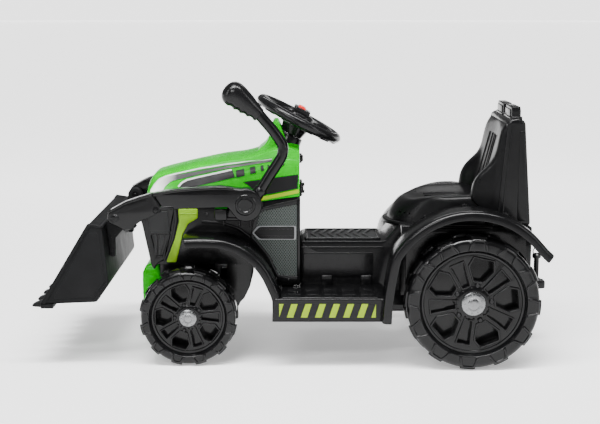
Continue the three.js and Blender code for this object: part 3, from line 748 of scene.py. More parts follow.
# ---------------------------------------------------------------- front body, panels and nose
MESH_PANEL = [(306, 148), (341, 151), (357, 187), (386, 221), (375, 262), (367, 269), (306, 281)]
STRIP = [(544, 174), (529, 213), (520, 248), (521, 272), (486, 272), (486, 255), (504, 244), (514, 225),
         (526, 174)]
ARROW = [(309, 241, 3), (378, 241, 4), (389, 228.5, 3), (378, 216, 4), (309, 216, 3)]


def grown(outline, amount):
    """An outline moved outwards by about the amount, away from its centre."""
    middle = sum((Vector(p[:2]) for p in outline), Vector((0, 0))) / len(outline)
    result = []
    for point in outline:
        corner = Vector(point[:2])
        result.append((*(corner + (corner - middle).normalized() * amount), *point[2:]))
    return result


def inside(x, z, outline):
    hit = False
    for (xa, za), (xb, zb) in zip(outline, outline[1:] + outline[:1]):
        if (za > z) != (zb > z) and x < xa + (z - za) * (xb - xa) / (zb - za):
            hit = not hit
    return hit


THREAD_PITCH = 4.6
THREAD_SLOPE = 1.35
THREAD_HALF = 0.62


def lattice(name, outline, y, side):
    """Raised diagonal threads, each cut off at the panel's edge."""
    threads = []
    low_x, high_x = min(p[0] for p in outline), max(p[0] for p in outline)
    low_z, high_z = min(p[1] for p in outline), max(p[1] for p in outline)
    length = math.hypot(1, THREAD_SLOPE)
    for hand in (1, -1):
        lean = (high_z - low_z) / THREAD_SLOPE
        start = low_x - lean
        for k in range(int((high_x - start + lean) / THREAD_PITCH)):
            x0 = start + k * THREAD_PITCH
            run = []
            for step in range(0, int(high_z - low_z) + 2):
                z = low_z + step
                x = x0 + (step if hand > 0 else (high_z - low_z) - step) / THREAD_SLOPE
                if inside(x, z, outline):
                    run.append((x, z))
                if run and (not inside(x, z, outline) or step > high_z - low_z):
                    if len(run) > 3:
                        threads.append((run[0], run[-1], hand))
                    run = []
    points, faces = [], []
    for (xa, za), (xb, zb), hand in threads:
        nx, nz = THREAD_SLOPE / length * THREAD_HALF, -hand / length * THREAD_HALF
        base = len(points)
        for x, z in ((xa, za), (xb, zb)):
            for dx, dz in ((nx, nz), (-nx, -nz)):
                for dy in (-0.3, 0.75 + 0.1 * hand):
                    points.append(at(x + dx, side * (y + dy), z + dz))
        faces += [tuple(base + i for i in face) for face in BOX_FACES]
    return mesh_object(name, points, faces)


def mesh_panel(label, side):
    name = f"mesh_panel_{label}"
    place(name, [wall(name, MESH_PANEL, side, 83.3, 84.6, 0.4)], "chassis", MESH, "mesh_plastic", name)
    threads = lattice("threads", MESH_PANEL, 84.6, side)
    # The threads take the lighter colour, a painted highlight on the raised threads.
    place(f"mesh_threads_{label}", [threads], "chassis", PAINTED_LIT_THREAD, "mesh_plastic")
    outer = [(302.6, 136, 4), (340, 139, 4), (351, 160, 4), (364, 184, 3), (393, 217, 4), (383, 264, 4),
             (371, 275, 5), (302.6, 291, 3)]
    border = [wall("border", outer, side, 82.8, 86.2, 1.0, [[(*p, 2) for p in MESH_PANEL]]),
              block("rear_bar", 301.6, 307.6, side * 82, side * 87.6, 134, 293, 1.6),
              block("top_bar", 303, 306, side * 83, side * 87, 150, 290, 1.2)]
    for x, z in ((345, 143.5), (379, 268), (323, 142)):
        border.append(pin("rivet", x, z, 2.2, side * 85.5, side * 87.2, 0.7, 16))
    place(f"mesh_border_{label}", border, "chassis", BODY_BLACK, "black_plastic")
    rim = wall("plate_rim", ARROW, side, 85, 87, 0.5, [grown(ARROW, -3.4)])
    place(f"name_plate_rim_{label}", [rim], "chassis", STICKER_SILVER, "cap_chrome")
    field = [wall("field", grown(ARROW, -2.6), side, 84.8, 86.3, 0.4)]
    field += [wall("bar", [(316, z, 1), (373, z, 1), (373, z + 1.6, 1), (316, z + 1.6, 1)], side, 86, 86.9,
                   0.2)
              for z in (221.5, 234)]
    place(f"name_plate_{label}", field, "chassis", STICKER_BLACK, "black_plastic")


def side_strip(label, side):
    name = f"side_strip_{label}"
    points = [(*p, 3) for p in STRIP]
    pieces = [wall(name, points, side, 82.6, 85.8, 1.2),
              wall("fold", [(519, 262, 1), (488, 262, 1), (488, 264, 1), (519, 264, 1)], side, 85, 86.6,
                   0.5),
              wall("step", [(541, 176, 1), (526, 214, 1), (529, 214, 1), (543.5, 176, 1)], side, 85, 86.6,
                   0.4)]
    place(name, pieces, "chassis", STRIP_GREEN, "green_plastic", name)


def body_details(label, side):
    """Trim that stands on the plain walls of the front body."""
    pieces = [
        wall("sill", [(368, 276, 2), (368, 284, 2), (578, 281, 2), (578, 274, 2), (484, 274, 2)], side, 82,
             85.4, 1.0),
        wall("arch_edge", [(394, 217, 3), (414, 233, 4), (442, 243, 4), (480, 246, 3), (480, 251, 3),
                           (440, 248, 5), (411, 238, 5), (388, 220, 3)], side, 82, 85, 1.0),
        wall("post", [(524, 270, 2), (523, 249, 3), (531, 214, 3), (546, 176, 2), (550, 176, 2),
                      (535, 216, 3), (528, 250, 3), (530, 270, 2)], side, 82, 86.6, 1.0),
    ]
    for x, z in ((402, 262), (470, 262), (500, 206)):
        pieces.append(pin("plug", x, z, 3.2, side * 82, side * 84.4, 0.8, 20))
    place(f"body_trim_{label}", pieces, "chassis", BODY_BLACK, "black_plastic")


def nose():
    """The slatted grille plate and the panel folded back from it on each side."""
    lean = math.atan2(253 - 174, 587.5 - 566.4)
    origin = Matrix.Translation(at(566.4, 0, 174)) @ Matrix.Rotation(-lean, 4, "Y")
    pieces = [
        local_block("plate", origin, (0, -83, 0), (82, 83, 3), 1.2),
        local_block("brow", Matrix.Translation(at(580, 0, 252)), (0, -83, 0), (6.5, 83, 32), 2.5, 3),
    ]
    for side in (1, -1):
        pieces.append(local_block("rail", origin, (2, side * 70 - 5, -3.5), (80, side * 70 + 5, 1), 1.4))
        pieces.append(local_block("post", origin, (2, side * 4 - 2, -3), (80, side * 4 + 2, 1), 1.0))
    for k in range(7):
        pieces.append(local_block("slat", origin, (6 + 10.5 * k, -66, -2.6), (10.5 + 10.5 * k, 66, 1), 1.0))
    for _, side in SIDES:
        flank = [(547, 178, 3), (560, 172, 5), (566, 160, 5), (571, 168, 4), (588, 252, 4), (583, 281, 3),
                 (527, 280, 3)]
        hole = [(551, 186, 2), (562, 186, 2), (571, 225, 2), (538, 225, 2)]
        pieces.append(wall("flank", flank, side, 83.2, 86.4, 1.2, [hole]))
        pieces.append(wall("back", grown(hole, 3), side, 82.6, 83.6, 0.4))
    place("nose_frame", pieces, "chassis", BODY_BLACK, "black_plastic", "nose_grille")
    panels = []
    for _, side in SIDES:
        panels.append(wall("panel", [(540, 268, 2), (577, 268, 3), (571, 229, 2), (536, 229, 2)], side,
                           85.8, 87.6, 0.8))
        for low, high in (((553, 558), (546, 554)), ((560, 564.5), (559, 566))):
            panels.append(wall("slat", [(low[0], 187), (low[1], 187), (high[1], 225), (high[0], 225)],
                               side, 83, 86.6, 0.7))
    place("nose_panels", panels, "chassis", GRILLE_GREY, "grey_plastic")


def bumper():
    levels = [(92, 560, 589, 51), (94, 560, 592, 53), (120, 560, 592.6, 54), (148, 560, 592, 54),
              (151, 560, 590.5, 53.4), (157, 561, 588, 52), (161, 561.5, 583, 49), (164, 562, 576, 44),
              (165.4, 563, 569, 38)]
    rings = []
    for z, rear, front, half in levels:
        points = [(rear, -half, 1), (front, -half, 6), (front, half, 6), (rear, half, 1)]
        rings.append([at(x, y, z) for x, y in rounded(points, 5)])
    body = bevel(skin("front_bumper", rings), 0.8, 2)
    pieces = [body]
    for z in (104, 116, 128):
        pieces.append(block("rib", 588, 594.4, -38, 38, z, z + 5, 1.6))
    for side in (1, -1):
        pieces.append(block("ear", 566, 586, side * 52, side * 55.6, 100, 142, 1.4))
    place("front_bumper", pieces, "chassis", GREEN, "green_plastic", "front_bumper")


# ---------------------------------------------------------------- fenders and running boards
FENDER_CROWN = 2.2
FENDER_LIP = 15


def fender(name, path, inner, outer, side):
    """A hollow band along a side-on path, with a crown, a round outer shoulder and a lip turned down."""
    crown, lip, middle = FENDER_CROWN, FENDER_LIP, (inner + outer) / 2
    section = [(inner, 3.2), (inner + 8, 2.2), (middle, 0.6 - crown), (outer - 12, -crown * 0.7),
               (outer - 5, -0.6), (outer - 1.6, 1.6), (outer, 5), (outer, lip - 1.2), (outer - 0.8, lip),
               (outer - 3.4, lip), (outer - 4, lip - 1), (outer - 4, 6.5), (outer - 7, 4.2),
               (middle, 4.2 - crown), (inner + 8, 5.8), (inner, 6.8)]
    rings = []
    for i, (x, z) in enumerate(path):
        before, after = Vector(path[max(i - 1, 0)]), Vector(path[min(i + 1, len(path) - 1)])
        along = (after - before).normalized()
        normal = Vector((along.y, -along.x))
        rings.append([at(x + normal.x * depth, side * y, z + normal.y * depth) for y, depth in section])
    return bevel(skin(name, rings), 0.7, 2, angle=35)


FRONT_PATH = [(335.6, 86), (335.6, 112), (337, 129), (345, 149), (355, 170), (368, 189), (383, 204),
              (401, 217), (421, 226), (443, 231.5), (475, 233), (507, 232)]
REAR_LEG = [(-136, 206), (-128, 213)]
REAR_CROWN = (5, 127, 156.5)


STRIPE_PITCH = 24.6
STRIPE_FRONT = 338.7
STRIPE = [(0, 94.6), (11.1, 94.6), (3.1, 118.9), (-8, 118.9)]
STRIPE_ENDS = (169.6, 338.4)


def side_moulding(label, side):
    name = f"side_moulding_{label}"
    front_path = catmull(FRONT_PATH, 4)
    crown_arc = arc(*REAR_CROWN, 136, 30, 26)
    rear_path = catmull(REAR_LEG + crown_arc + [(145, 190), (149.4, 166), (153.4, 140), (156.4, 112),
                                                (157.6, 86)], 2)
    outer = [(146, 86, 2), (351, 86, 2), (347.5, 128, 3), (150, 128, 3)]
    under = [(151, 70), (345, 70), (343, 123.5), (155, 123.5)]
    board = cut(wall("board", outer, side, TUNNEL_HALF + 0.6, BOARD_OUTER, 2.4),
                [wall("under", under, side, TUNNEL_HALF + 4, BOARD_OUTER - 4, 0.5)])
    pieces = [
        board,
        fender("front", front_path, BODY_HALF + 3, 172, side),
        fender("rear", rear_path, FENDER_INNER, FENDER_OUTER, side),
        wall("front_rim", [(507, 232, 3), (507, 216.5, 2), (503, 216.5, 1), (503, 231, 1)], side, 88,
             172.4, 0.9),
    ]
    for k in range(5):
        x = 172 + 32 * k
        for y in (92, 126):
            pieces.append(block("grip", x, x + 24, side * y, side * (y + 24), 126.5, 129.4, 1.0, 2))
    pieces.append(block("kerb", 166, 334, side * 166, side * 174.2, 126, 130.6, 1.3))
    pieces.append(block("toe", 164, 168.5, side * 70, side * 166, 126, 130.2, 1.2))
    for x in (171, 243, 315):
        pieces.append(block("foot", x, x + 20, side * 63, side * 70, 126, 146, 1.8))
    for degrees in (60, 88, 116):
        x, z = arc(*REAR_CROWN, degrees, degrees, 1)[0]
        spot = Matrix.Translation(at(x, side * 112, z)) @ Matrix.Rotation(math.radians(90 - degrees), 4, "Y")
        pieces.append(lathe("screw", [(0, -4), (4.4, -4), (4.4, 0.8), (3.4, 1.5), (1.8, 1.5), (1.5, 0.6),
                                      (0, 0.6)], 20, spot))
    if side < 0:
        pieces.append(cut(
            block("socket", 257.5, 278.5, -150, -94, 126, 134, 1.0),
            [pin("groove", 268, 134, 4.5, -92, -152, 0.1)]))
    place(name, pieces, "chassis", BODY_BLACK, "black_plastic", name)
    field = wall("field", [(168, 94, 2), (340, 94, 2), (338, 119.5, 2), (169, 119.5, 2)], side, 174.6,
                 175.5, 0.2)
    place(f"hazard_field_{label}", [field], "chassis", STICKER_BLACK, "black_plastic")
    stripes = []
    for k in range(8):
        corners = shift(STRIPE, STRIPE_FRONT - STRIPE_PITCH * k, 0)
        clipped = clip(clip(corners, STRIPE_ENDS[0], 1), STRIPE_ENDS[1], -1)
        if len(clipped) > 2:
            stripes.append(wall("stripe", clipped, side, 175.2, 175.9, 0.1))
    place(f"hazard_stripes_{label}", stripes, "chassis", STICKER_LIME, "green_plastic")


def clip(outline, limit, keep):
    """The part of an outline on one side of an upright line."""
    result = []
    for (xa, za), (xb, zb) in zip(outline, outline[1:] + outline[:1]):
        in_a, in_b = (xa - limit) * keep >= 0, (xb - limit) * keep >= 0
        if in_a:
            result.append((xa, za))
        if in_a != in_b:
            t = (limit - xa) / (xb - xa)
            result.append((limit, za + (zb - za) * t))
    return result


# ---------------------------------------------------------------- tunnel, rear body and floor details
def tunnel():
    """The middle ridge with its tread pad, and the box under the seat."""
    pieces = [
        plate("spine", [(100, 84, 6), (302, 84, 6), (302, 208.2, 6), (148, 208.2, 8), (121, 241, 6),
                        (100, 241, 6)], -TUNNEL_HALF - 0.2, TUNNEL_HALF + 0.2, 4.5),
    ]
    for side in (1, -1):
        pieces.append(wall("ridge", [(150, 196, 2), (301, 196, 2), (301, 199, 2), (150, 199, 2)], side, 61,
                           64, 1.2))
        pieces.append(wall("panel", [(168, 142, 6), (296, 142, 6), (296, 188, 6), (168, 188, 6)], side, 61,
                           63.2, 0.9))
    frame_outer = [(154, -49, 5), (294, -49, 5), (294, 49, 5), (154, 49, 5)]
    frame_inner = [(160, -43, 3), (288, -43, 3), (288, 43, 3), (160, 43, 3)]
    pieces.append(plan_plate("pad_frame", frame_outer, 206, 212.6, 1.4, [frame_inner]))
    return pieces


def tread_pad():
    pieces = [plan_plate("tread_pad", [(159, -44, 3), (289, -44, 3), (289, 44, 3), (159, 44, 3)], 207.4,
                         210, 0.6)]
    for k in range(7):
        x = 168 + 16 * k
        chevron = [(x, -38), (x + 12, 0), (x, 38), (x + 7, 38), (x + 19, 0), (x + 7, -38)]
        pieces.append(plan_plate("chevron", chevron, 209.4, 212.4, 0.9))
    place("tread_pad", pieces, "chassis", GRILLE_GREY, "grey_plastic", "tread_pad")


def rear_trim():
    """Tail panel, louvres and badge-free plates on the box under the seat."""
    pieces = tunnel()
    tail = Matrix.Translation(at(-111, 0, 0))
    pieces.append(local_block("tail", tail, (-2.2, -88, 126), (1, 88, 236), 1.6, 3))
    for k in range(6):
        pieces.append(local_block("louvre", tail, (-4.6, -60, 178 + 8 * k), (0, 60, 182.5 + 8 * k), 1.3, 2))
    for side in (1, -1):
        pieces.append(local_block("pad", tail, (-4.4, side * 74 - 9, 138), (0, side * 74 + 9, 166), 2.0, 3))
        pieces.append(local_block("edge", tail, (-3.6, side * 90 - 4, 120), (4, side * 90 + 4, 240), 1.6, 2))
        pieces.append(wall("side", [(-104, 124, 8), (112, 124, 8), (112, 234, 8), (-104, 234, 8)], side,
                           95.6, 97.4, 0.8))
    place("rear_trim", pieces, "chassis", BODY_BLACK, "black_plastic")


# ---------------------------------------------------------------- seat
def both_sides(across):
    """Distances from the middle, as places from the far side to the near one."""
    return [-y for y in across[:0:-1]] + list(across)


PAN_REACH = ((0, 141), (20, 138), (42, 129), (60, 114), (72, 97), (80, 80), (86, 62), (90, 44))


def seat_pan():
    """A dished pan that narrows to a round front, with bolsters, a flange round its foot and vent holes."""
    top = catmull([(-30, 286), (0, 286.6), (30, 286), (60, 285.2), (85, 284.4), (104, 283.6), (115, 281.4),
                   (124, 274), (132.5, 262), (138.5, 250), (141, 238)], 3)
    widths, reaches = zip(*PAN_REACH)
    rings = []
    across = (0, 10, 20, 30, 40, 48, 55, 61, 66, 70, 74, 77, 80, 83, 86, 88.4, 90)
    for y in both_sides(across):
        inset = {90: 10, 88.4: 5, 86: 2.2, 83: 0.6}.get(abs(y), 0)
        reach = float(np.interp(abs(y), widths, reaches))
        profile = [(-30, 236)]
        for x, z in top:
            spot = -30 + (x + 30) * (reach + 30) / 171
            bolster = 9.5 * smoothstep(22, 72, abs(y)) * (1 - smoothstep(52, 118, spot))
            dish = 3 * (1 - smoothstep(0, 50, abs(y))) * (1 - smoothstep(80, 116, spot))
            profile.append((spot, z + bolster - dish - inset))
        profile.append((reach, 236))
        rings.append([at(x, y, z) for x, z in profile])
    pan = bevel(skin("seat_pan", rings), 0.8, 2, angle=40)
    drills = [pin("vent", x, 260, 1.5, side * 30, side * 96, 0.2, 14) for side in (1, -1) for x in (103,
                                                                                                    111,
                                                                                                    119)]
    pieces = [cut(pan, drills)]
    half = [(-46, 97, 8), (62, 97, 30), (112, 74, 26), (142, 36, 24), (149, 12, 12)]
    flange = [(x, -y, r) for x, y, r in half] + half[::-1]
    pieces.append(plan_plate("flange", flange, 236, 244, 3))
    for y in (-24, 0, 24):
        pieces.append(block("rib", 10, 70, y - 1.6, y + 1.6, 276, 286, 1.2, 2))
    place("seat_pan", pieces, "chassis", SEAT_BLACK, "black_plastic", "seat_pan")


def seat_back():
    """A flat back between two deep side wings."""
    wing = [(-31, 262), (-12, 281), (-4.4, 290), (-4.6, 301), (-6.4, 312), (-10.5, 323), (-18, 334),
            (-28, 344), (-37, 353), (-43.5, 364), (-47.5, 377), (-50.5, 392), (-54, 406), (-58, 416),
            (-63, 424), (-67.5, 428.5), (-72, 430)]
    wing = catmull(wing, 2)
    rings = []
    for y in both_sides((0, 17, 34, 46, 54, 60, 66, 72, 78, 84, 90, 93.6, 95)):
        inset = {95: 7, 93.6: 3, 90: 0.8}.get(abs(y), 0)
        blend = smoothstep(50, 78, abs(y))
        profile = [(-52, 243), (-33, 243)]
        for x, z in wing:
            flat_x = -25 - max(z - 285, 0) * 0.255 - 3.2 * (1 - smoothstep(0, 60, abs(y)))
            face_x = min(flat_x, x) * (1 - blend) + x * blend
            profile.append((face_x - inset * 0.8, z - inset * smoothstep(400, 434, z)))
        rings.append([at(x, y, z) for x, z in profile])
    back = bevel(skin("seat_back", rings), 1.0, 2, angle=40)
    pieces = [back]
    for y in (-36, -12, 12, 36):
        spine = [(-28.6 - k * 5.1 - 3.2 * (1 - smoothstep(0, 60, abs(y))), y,
                  300 + 20 * k) for k in range(6)]
        pieces.append(tube("rib", spine, 1.6))
    place("seat_back", pieces, "chassis", SEAT_BLACK, "black_plastic", "seat_back")


def seat_shell():
    outline = [(-111, 243, 7), (-48, 243, 7), (-65, 432, 8), (-84, 437, 8), (-97, 430, 9)]
    pieces = [plate("seat_shell", outline, -98, 98, 5)]
    for side in (1, -1):
        pieces.append(wall("cheek", [(-103, 252, 6), (-86, 252, 6), (-87, 414, 6), (-96, 414, 6)], side,
                           96, 99, 1.2))
        pieces.append(wall("seam", [(-60, 250, 2), (-56.5, 250, 2), (-72, 424, 2), (-75, 424, 2)], side,
                           96, 99.4, 1.3))
        pieces.append(block("post", -91, -75, side * 12.5, side * 76.5, 425, 455, 2.4))
        pieces.append(block("recess", -93, -73, side * 20, side * 69, 437, 450, 1.4))
        pieces.append(block("foot", -94, -72, side * 9, side * 80, 428, 437.5, 2.2))
    tail = Matrix.Translation(at(-111, 0, 243)) @ Matrix.Rotation(math.radians(4.4), 4, "Y")
    pieces.append(local_block("panel", tail, (-1.4, -78, 14), (2, 78, 170), 1.2, 3))
    for k in range(5):
        pieces.append(local_block("rib", tail, (-3.4, -52 + 24 * k, 26), (0, -44 + 24 * k, 158), 1.4, 2))
    place("seat_shell", pieces, "chassis", BODY_BLACK, "black_plastic", "seat_shell")


# ---------------------------------------------------------------- loader
ARM_TOP = [(557, 310), (525, 316), (483, 320), (439, 322)]
ARM_LOW = [(428, 286), (481, 284), (512, 283), (539, 281)]
TIP = [(557.8, 309.9, 1), (539.8, 280.7, 1), (561, 269, 4), (574, 265, 5), (586, 257, 4), (596, 247, 4),
       (608, 245, 4), (622, 253, 4), (638, 260, 5), (636, 279, 5), (609, 294, 6), (583, 303, 8)]


def rail(name, top, depth, y0, y1, edge):
    """A raised band along the upper edge of an arm."""
    return plate(name, top + shift(list(reversed(top)), 0, -depth), y0, y1, edge)


def screw(name, x, z, y, side, radius):
    """A pan-head screw with a cross in its face."""
    head = lathe(name, [(0, -3), (radius, -3), (radius, 0.6), (radius * 0.85, 1.6), (radius * 0.5, 2),
                        (0, 2.1)], 28,
                 along_y(x, side * y, z, side))
    slits = []
    for degrees in (20, 110):
        matrix = along_y(x, side * y, z, side) @ Matrix.Rotation(math.radians(degrees), 4, "Z")
        slits.append(local_block("cut", matrix, (-radius * 0.55, -0.6, 0.7), (radius * 0.55, 0.6, 3), 0))
    return cut(head, slits)


def arm(label, side):
    name = f"arm_{label}"
    lobe = arc(PIVOT[0], PIVOT[1], 29, 75, 300, 40)
    outline = catmull(ARM_TOP, 5) + lobe + catmull(ARM_LOW, 4)
    inner, outer = side * ARM_INNER, side * ARM_OUTER
    outer_pivot = along_y(PIVOT[0], outer, PIVOT[1], side)
    inner_pivot = along_y(PIVOT[0], inner, PIVOT[1], -side)
    pieces = [
        plate(name, outline, inner, outer, 3.4),
        rail("rail", catmull(ARM_TOP + [(418, 320.5)], 5), 4.5, side * (ARM_OUTER - 1),
             side * (ARM_OUTER + 1.6), 1.1),
        lathe("boss", [(0, -2), (13.6, -2), (13.6, 2.4), (12.8, 3.6), (11.4, 3.9), (10.4, 3.1), (0, 3)], 64,
              outer_pivot),
        lathe("groove", [(16.6, -1), (18.6, -1), (18.6, 0.3), (17.8, 0.9), (16.8, 0.3), (16.6, -1)], 64,
              outer_pivot),
        lathe("washer", [(0, -3), (13, -3), (13, 0.2), (12, 1.2), (0, 1.2)], 40,
              inner_pivot),
        plate("foot", [(548, 287, 3), (543, 281.5, 2), (520, 283.5, 3), (524, 289, 3)], inner + side,
              side * (ARM_OUTER + 0.8), 1.2),
    ]
    place(name, pieces, "loader", BLACK, "black_plastic", name)
    tip = f"arm_tip_{label}"
    pieces = [
        plate(tip, rounded(TIP, 4), inner, outer, 3.0),
        rail("rail", catmull([(636, 279.5), (609, 294.3), (583, 303.2), (558.5, 309.8)], 5), 4.5,
             side * (ARM_OUTER - 1),
             side * (ARM_OUTER + 1.6), 1.1),
        lathe("seat", [(4.6, -1), (6.6, -1), (6.6, 0.7), (5.4, 0.9), (4.6, 0.3), (4.6, -1)], 32,
              along_y(553, outer, 281, side)),
        plate("heel", [(588, 250, 2), (604, 243.5, 3), (612, 246, 3), (600, 258, 4)], inner + side * 4,
              outer - side * 4, 1.6),
    ]
    place(tip, pieces, "loader", BLACK, "black_plastic", tip)
    place(f"arm_screw_{label}", [screw("screw", 553, 281, ARM_OUTER, side, 4.4)], "loader", BLACK, "steel")
    bolt = f"bucket_bolt_{label}"
    pieces = [screw(bolt, *HINGE, ARM_OUTER + 0.6, side, 6.2), pin("shank", *HINGE, 4, side * 108,
                                                                   outer + side, 0.6),
              pin("collar", *HINGE, 7.5, outer + side * 0.3, outer + side * 1.4, 0.4)]
    place(bolt, pieces, "loader", BLACK, "steel", bolt)


def lever():
    y = (ARM_INNER + ARM_OUTER) / 2
    path = [(377, 303.8), (371.6, 312.8), (354.3, 341.3), (345.5, 354.5), (339, 364.6), (333.6, 374.4),
            (331.8, 384), (332.6, 392.5), (336.6, 400.6), (349, 418.5), (372.5, 446.4)]
    pieces = [tube("lever_tube", [(x, y, z) for x, z in catmull(path, 6)], 9.6, 32),
              lathe("ferrule", [(9.8, 0), (12, 0), (12.2, 1), (11.8, 6), (10.8, 7.4), (9.8, 7.6),
                                (9.8, 0)], 40,
                    Matrix.Translation(at(372.6, y, 311.2)) @ Matrix.Rotation(math.radians(-31.3), 4, "Y"))]
    place("lever_tube", pieces, "loader", BLACK, "black_plastic", "lever_tube")
    along, under, across = Vector((0.767, 0, 0.641)), Vector((0.641, 0, -0.767)), Vector((0, 1, 0))
    stations = [(0, 9.2), (0.5, 11), (1.6, 11.8), (6, 12.6), (16, 15), (28, 18), (40, 20.2), (52, 21.8),
                (60, 21.8), (66, 20.2), (71, 16.8), (74.5, 12), (76.4, 6.5), (77, 2)]
    smooth = catmull(stations, 6)
    start = at(371.5, y, 445)
    rings = []
    for t, radius in smooth:
        groove = 0.0
        if 4 < t < 54:
            groove = 2.6 * (0.5 - 0.5 * math.cos(2 * math.pi * (t - 4) / 12.5)) ** 0.6
        ring = []
        for k in range(48):
            angle = 2 * math.pi * k / 48
            down = max(math.cos(angle), 0) ** 2
            r = radius + 0.8 * down - groove * down
            narrow = 1 - 0.08 * abs(math.sin(angle))
            outwards = under * math.cos(angle) + across * math.sin(angle) * narrow
            ring.append(start + (along * t + outwards * r) * MM)
        rings.append(ring)
    place("lever_grip", [skin("lever_grip", rings)], "loader", RUBBERY, "black_plastic", "lever_grip")


def bracket(label, side):
    """The black ledge that carries the loader's pivot shaft."""
    name = f"pivot_bracket_{label}"
    outline = [(377, 83.6, 1), (377, 124, 4), (429.6, 124, 3), (429.6, 150, 4), (452, 150, 7),
               (452, 83.6, 1)]
    pieces = [plan_plate(name, [(x, side * y, r) for x, y, r in outline], 262, 282.4, 2.4),
              plan_plate("skirt", [(381, side * 84, 1), (381, side * 120, 4), (448, side * 120, 4),
                                   (448, side * 84, 1)], 256, 264, 2.0)]
    for x in (390, 410, 438):
        pieces.append(wall("gusset", [(x, 240, 2), (x, 262, 1), (x + 3, 262, 1), (x + 3, 240, 2)], side,
                           83, 92, 0.8))
    place(name, pieces, "chassis", BODY_BLACK, "black_plastic", name)


BUCKET = [(646, 254, 3), (636, 152, 5), (658, 120, 4), (757, 116, 1), (670, 258, 3)]
BUCKET_INSIDE = [(650, 250.6, 2), (640.3, 152.5, 4), (660, 124, 4), (800, 119), (800, 262), (690, 262)]


def bucket():
    outer = plate("bucket", BUCKET, -BUCKET_HALF, BUCKET_HALF, 1.6)
    inner = plate("inner", BUCKET_INSIDE, -BUCKET_HALF + 4, BUCKET_HALF - 4, 0.6)
    body = cut(outer, [inner])
    modify(body, "BEVEL", width=0.8 * MM, segments=2, limit_method="ANGLE", angle_limit=math.radians(50))
    pieces = [settle(body)]
    for side in (1, -1):
        edge = [(758, 116, 2), (671, 259, 3), (664, 257.6, 2), (748, 117.6, 2)]
        pieces.append(wall("lip", edge, side, BUCKET_HALF - 5.4, BUCKET_HALF + 1.6, 1.5))
        top = [(671, 259.6, 2), (645.6, 255.4, 2), (646, 251, 1), (667, 254, 1)]
        pieces.append(wall("rim", top, side, BUCKET_HALF - 5, BUCKET_HALF + 1.2, 1.2))
        heel = [(637.5, 153, 2), (659, 121, 2), (664, 121, 2), (641.5, 155, 2)]
        pieces.append(wall("heel", heel, side, BUCKET_HALF - 3, BUCKET_HALF + 1.1, 0.9))
        panel = [(652, 244, 6), (644, 158, 6), (664, 130, 6), (734, 126, 6), (668, 244, 6)]
        pieces.append(wall("panel", panel, side, BUCKET_HALF - 1, BUCKET_HALF + 0.7, 0.6))
    for y in (-112, -56, 0, 56, 112):
        rib = [(641.5, 158, 1), (650, 246, 1), (653, 246, 1), (646, 160, 1), (663, 126, 1), (660, 124, 1)]
        pieces.append(plate("rib", rib, y - 2.4, y + 2.4, 1.0))
    pieces.append(tube("top_bead", [(647.5, y, 253.5) for y in (-165, 0, 165)], 3.0))
    place("bucket", pieces, "bucket", GREY, "grey_plastic", "bucket")
    teeth = 7
    pitch = 2 * BUCKET_HALF / teeth
    pieces = [plan_plate("bucket_teeth", [(735, -167, 1), (757, -167, 1), (757, 167, 1), (735, 167, 1)],
                         108.2, 116.2, 1.2)]
    for i in range(teeth):
        y = -BUCKET_HALF + i * pitch
        low, high = y + 11, y + pitch - 11
        rings = []
        for x, z0, z1, pinch in ((752, 108, 117.6, 0), (762, 108, 116.8, 0.6), (770, 108.2, 114, 2.4),
                                 (775, 108.6, 111.6, 4.4)):
            corners = [(low + pinch, z0, 1), (high - pinch, z0, 1), (high - pinch, z1, 2),
                       (low + pinch, z1, 2)]
            rings.append([at(x, a, b) for a, b in rounded(corners, 3)])
        pieces.append(bevel(skin("tooth", rings), 0.6, 2, angle=40))
    place("bucket_teeth", pieces, "bucket", GREY, "grey_plastic", "bucket_teeth")
    outline = [(639.6, 193, 2), (645.3, 250, 1)] + [(*p, 0) for p in arc(*HINGE, 14, -10, 190, 24)] \
        + [(615, 242, 4), (629, 226, 3), (630, 193, 2)]
    for label, side in SIDES:
        name = f"bucket_bracket_{label}"
        eye = arc(*HINGE, 4.6, 0, 345, 23)
        pieces = [wall(name, outline, side, 109, ARM_INNER - 0.4, 1.8, [eye])]
        for dx, dz in ((-2.6, 2.4), (2.6, 2.4), (-2.6, -2.4), (2.6, -2.4)):
            pieces.append(pin("dot", 632.5 + dx, 230 + dz, 1.3, side * 125, side * 126.6, 0.5, 12))
        pieces.append(wall("ledge", [(631.4, 206, 1), (639.6, 206, 1), (639.2, 202, 1), (631.2, 202, 1)],
                           side, 108, 126.2, 0.8))
        place(name, pieces, "bucket", GREY, "grey_plastic", name)


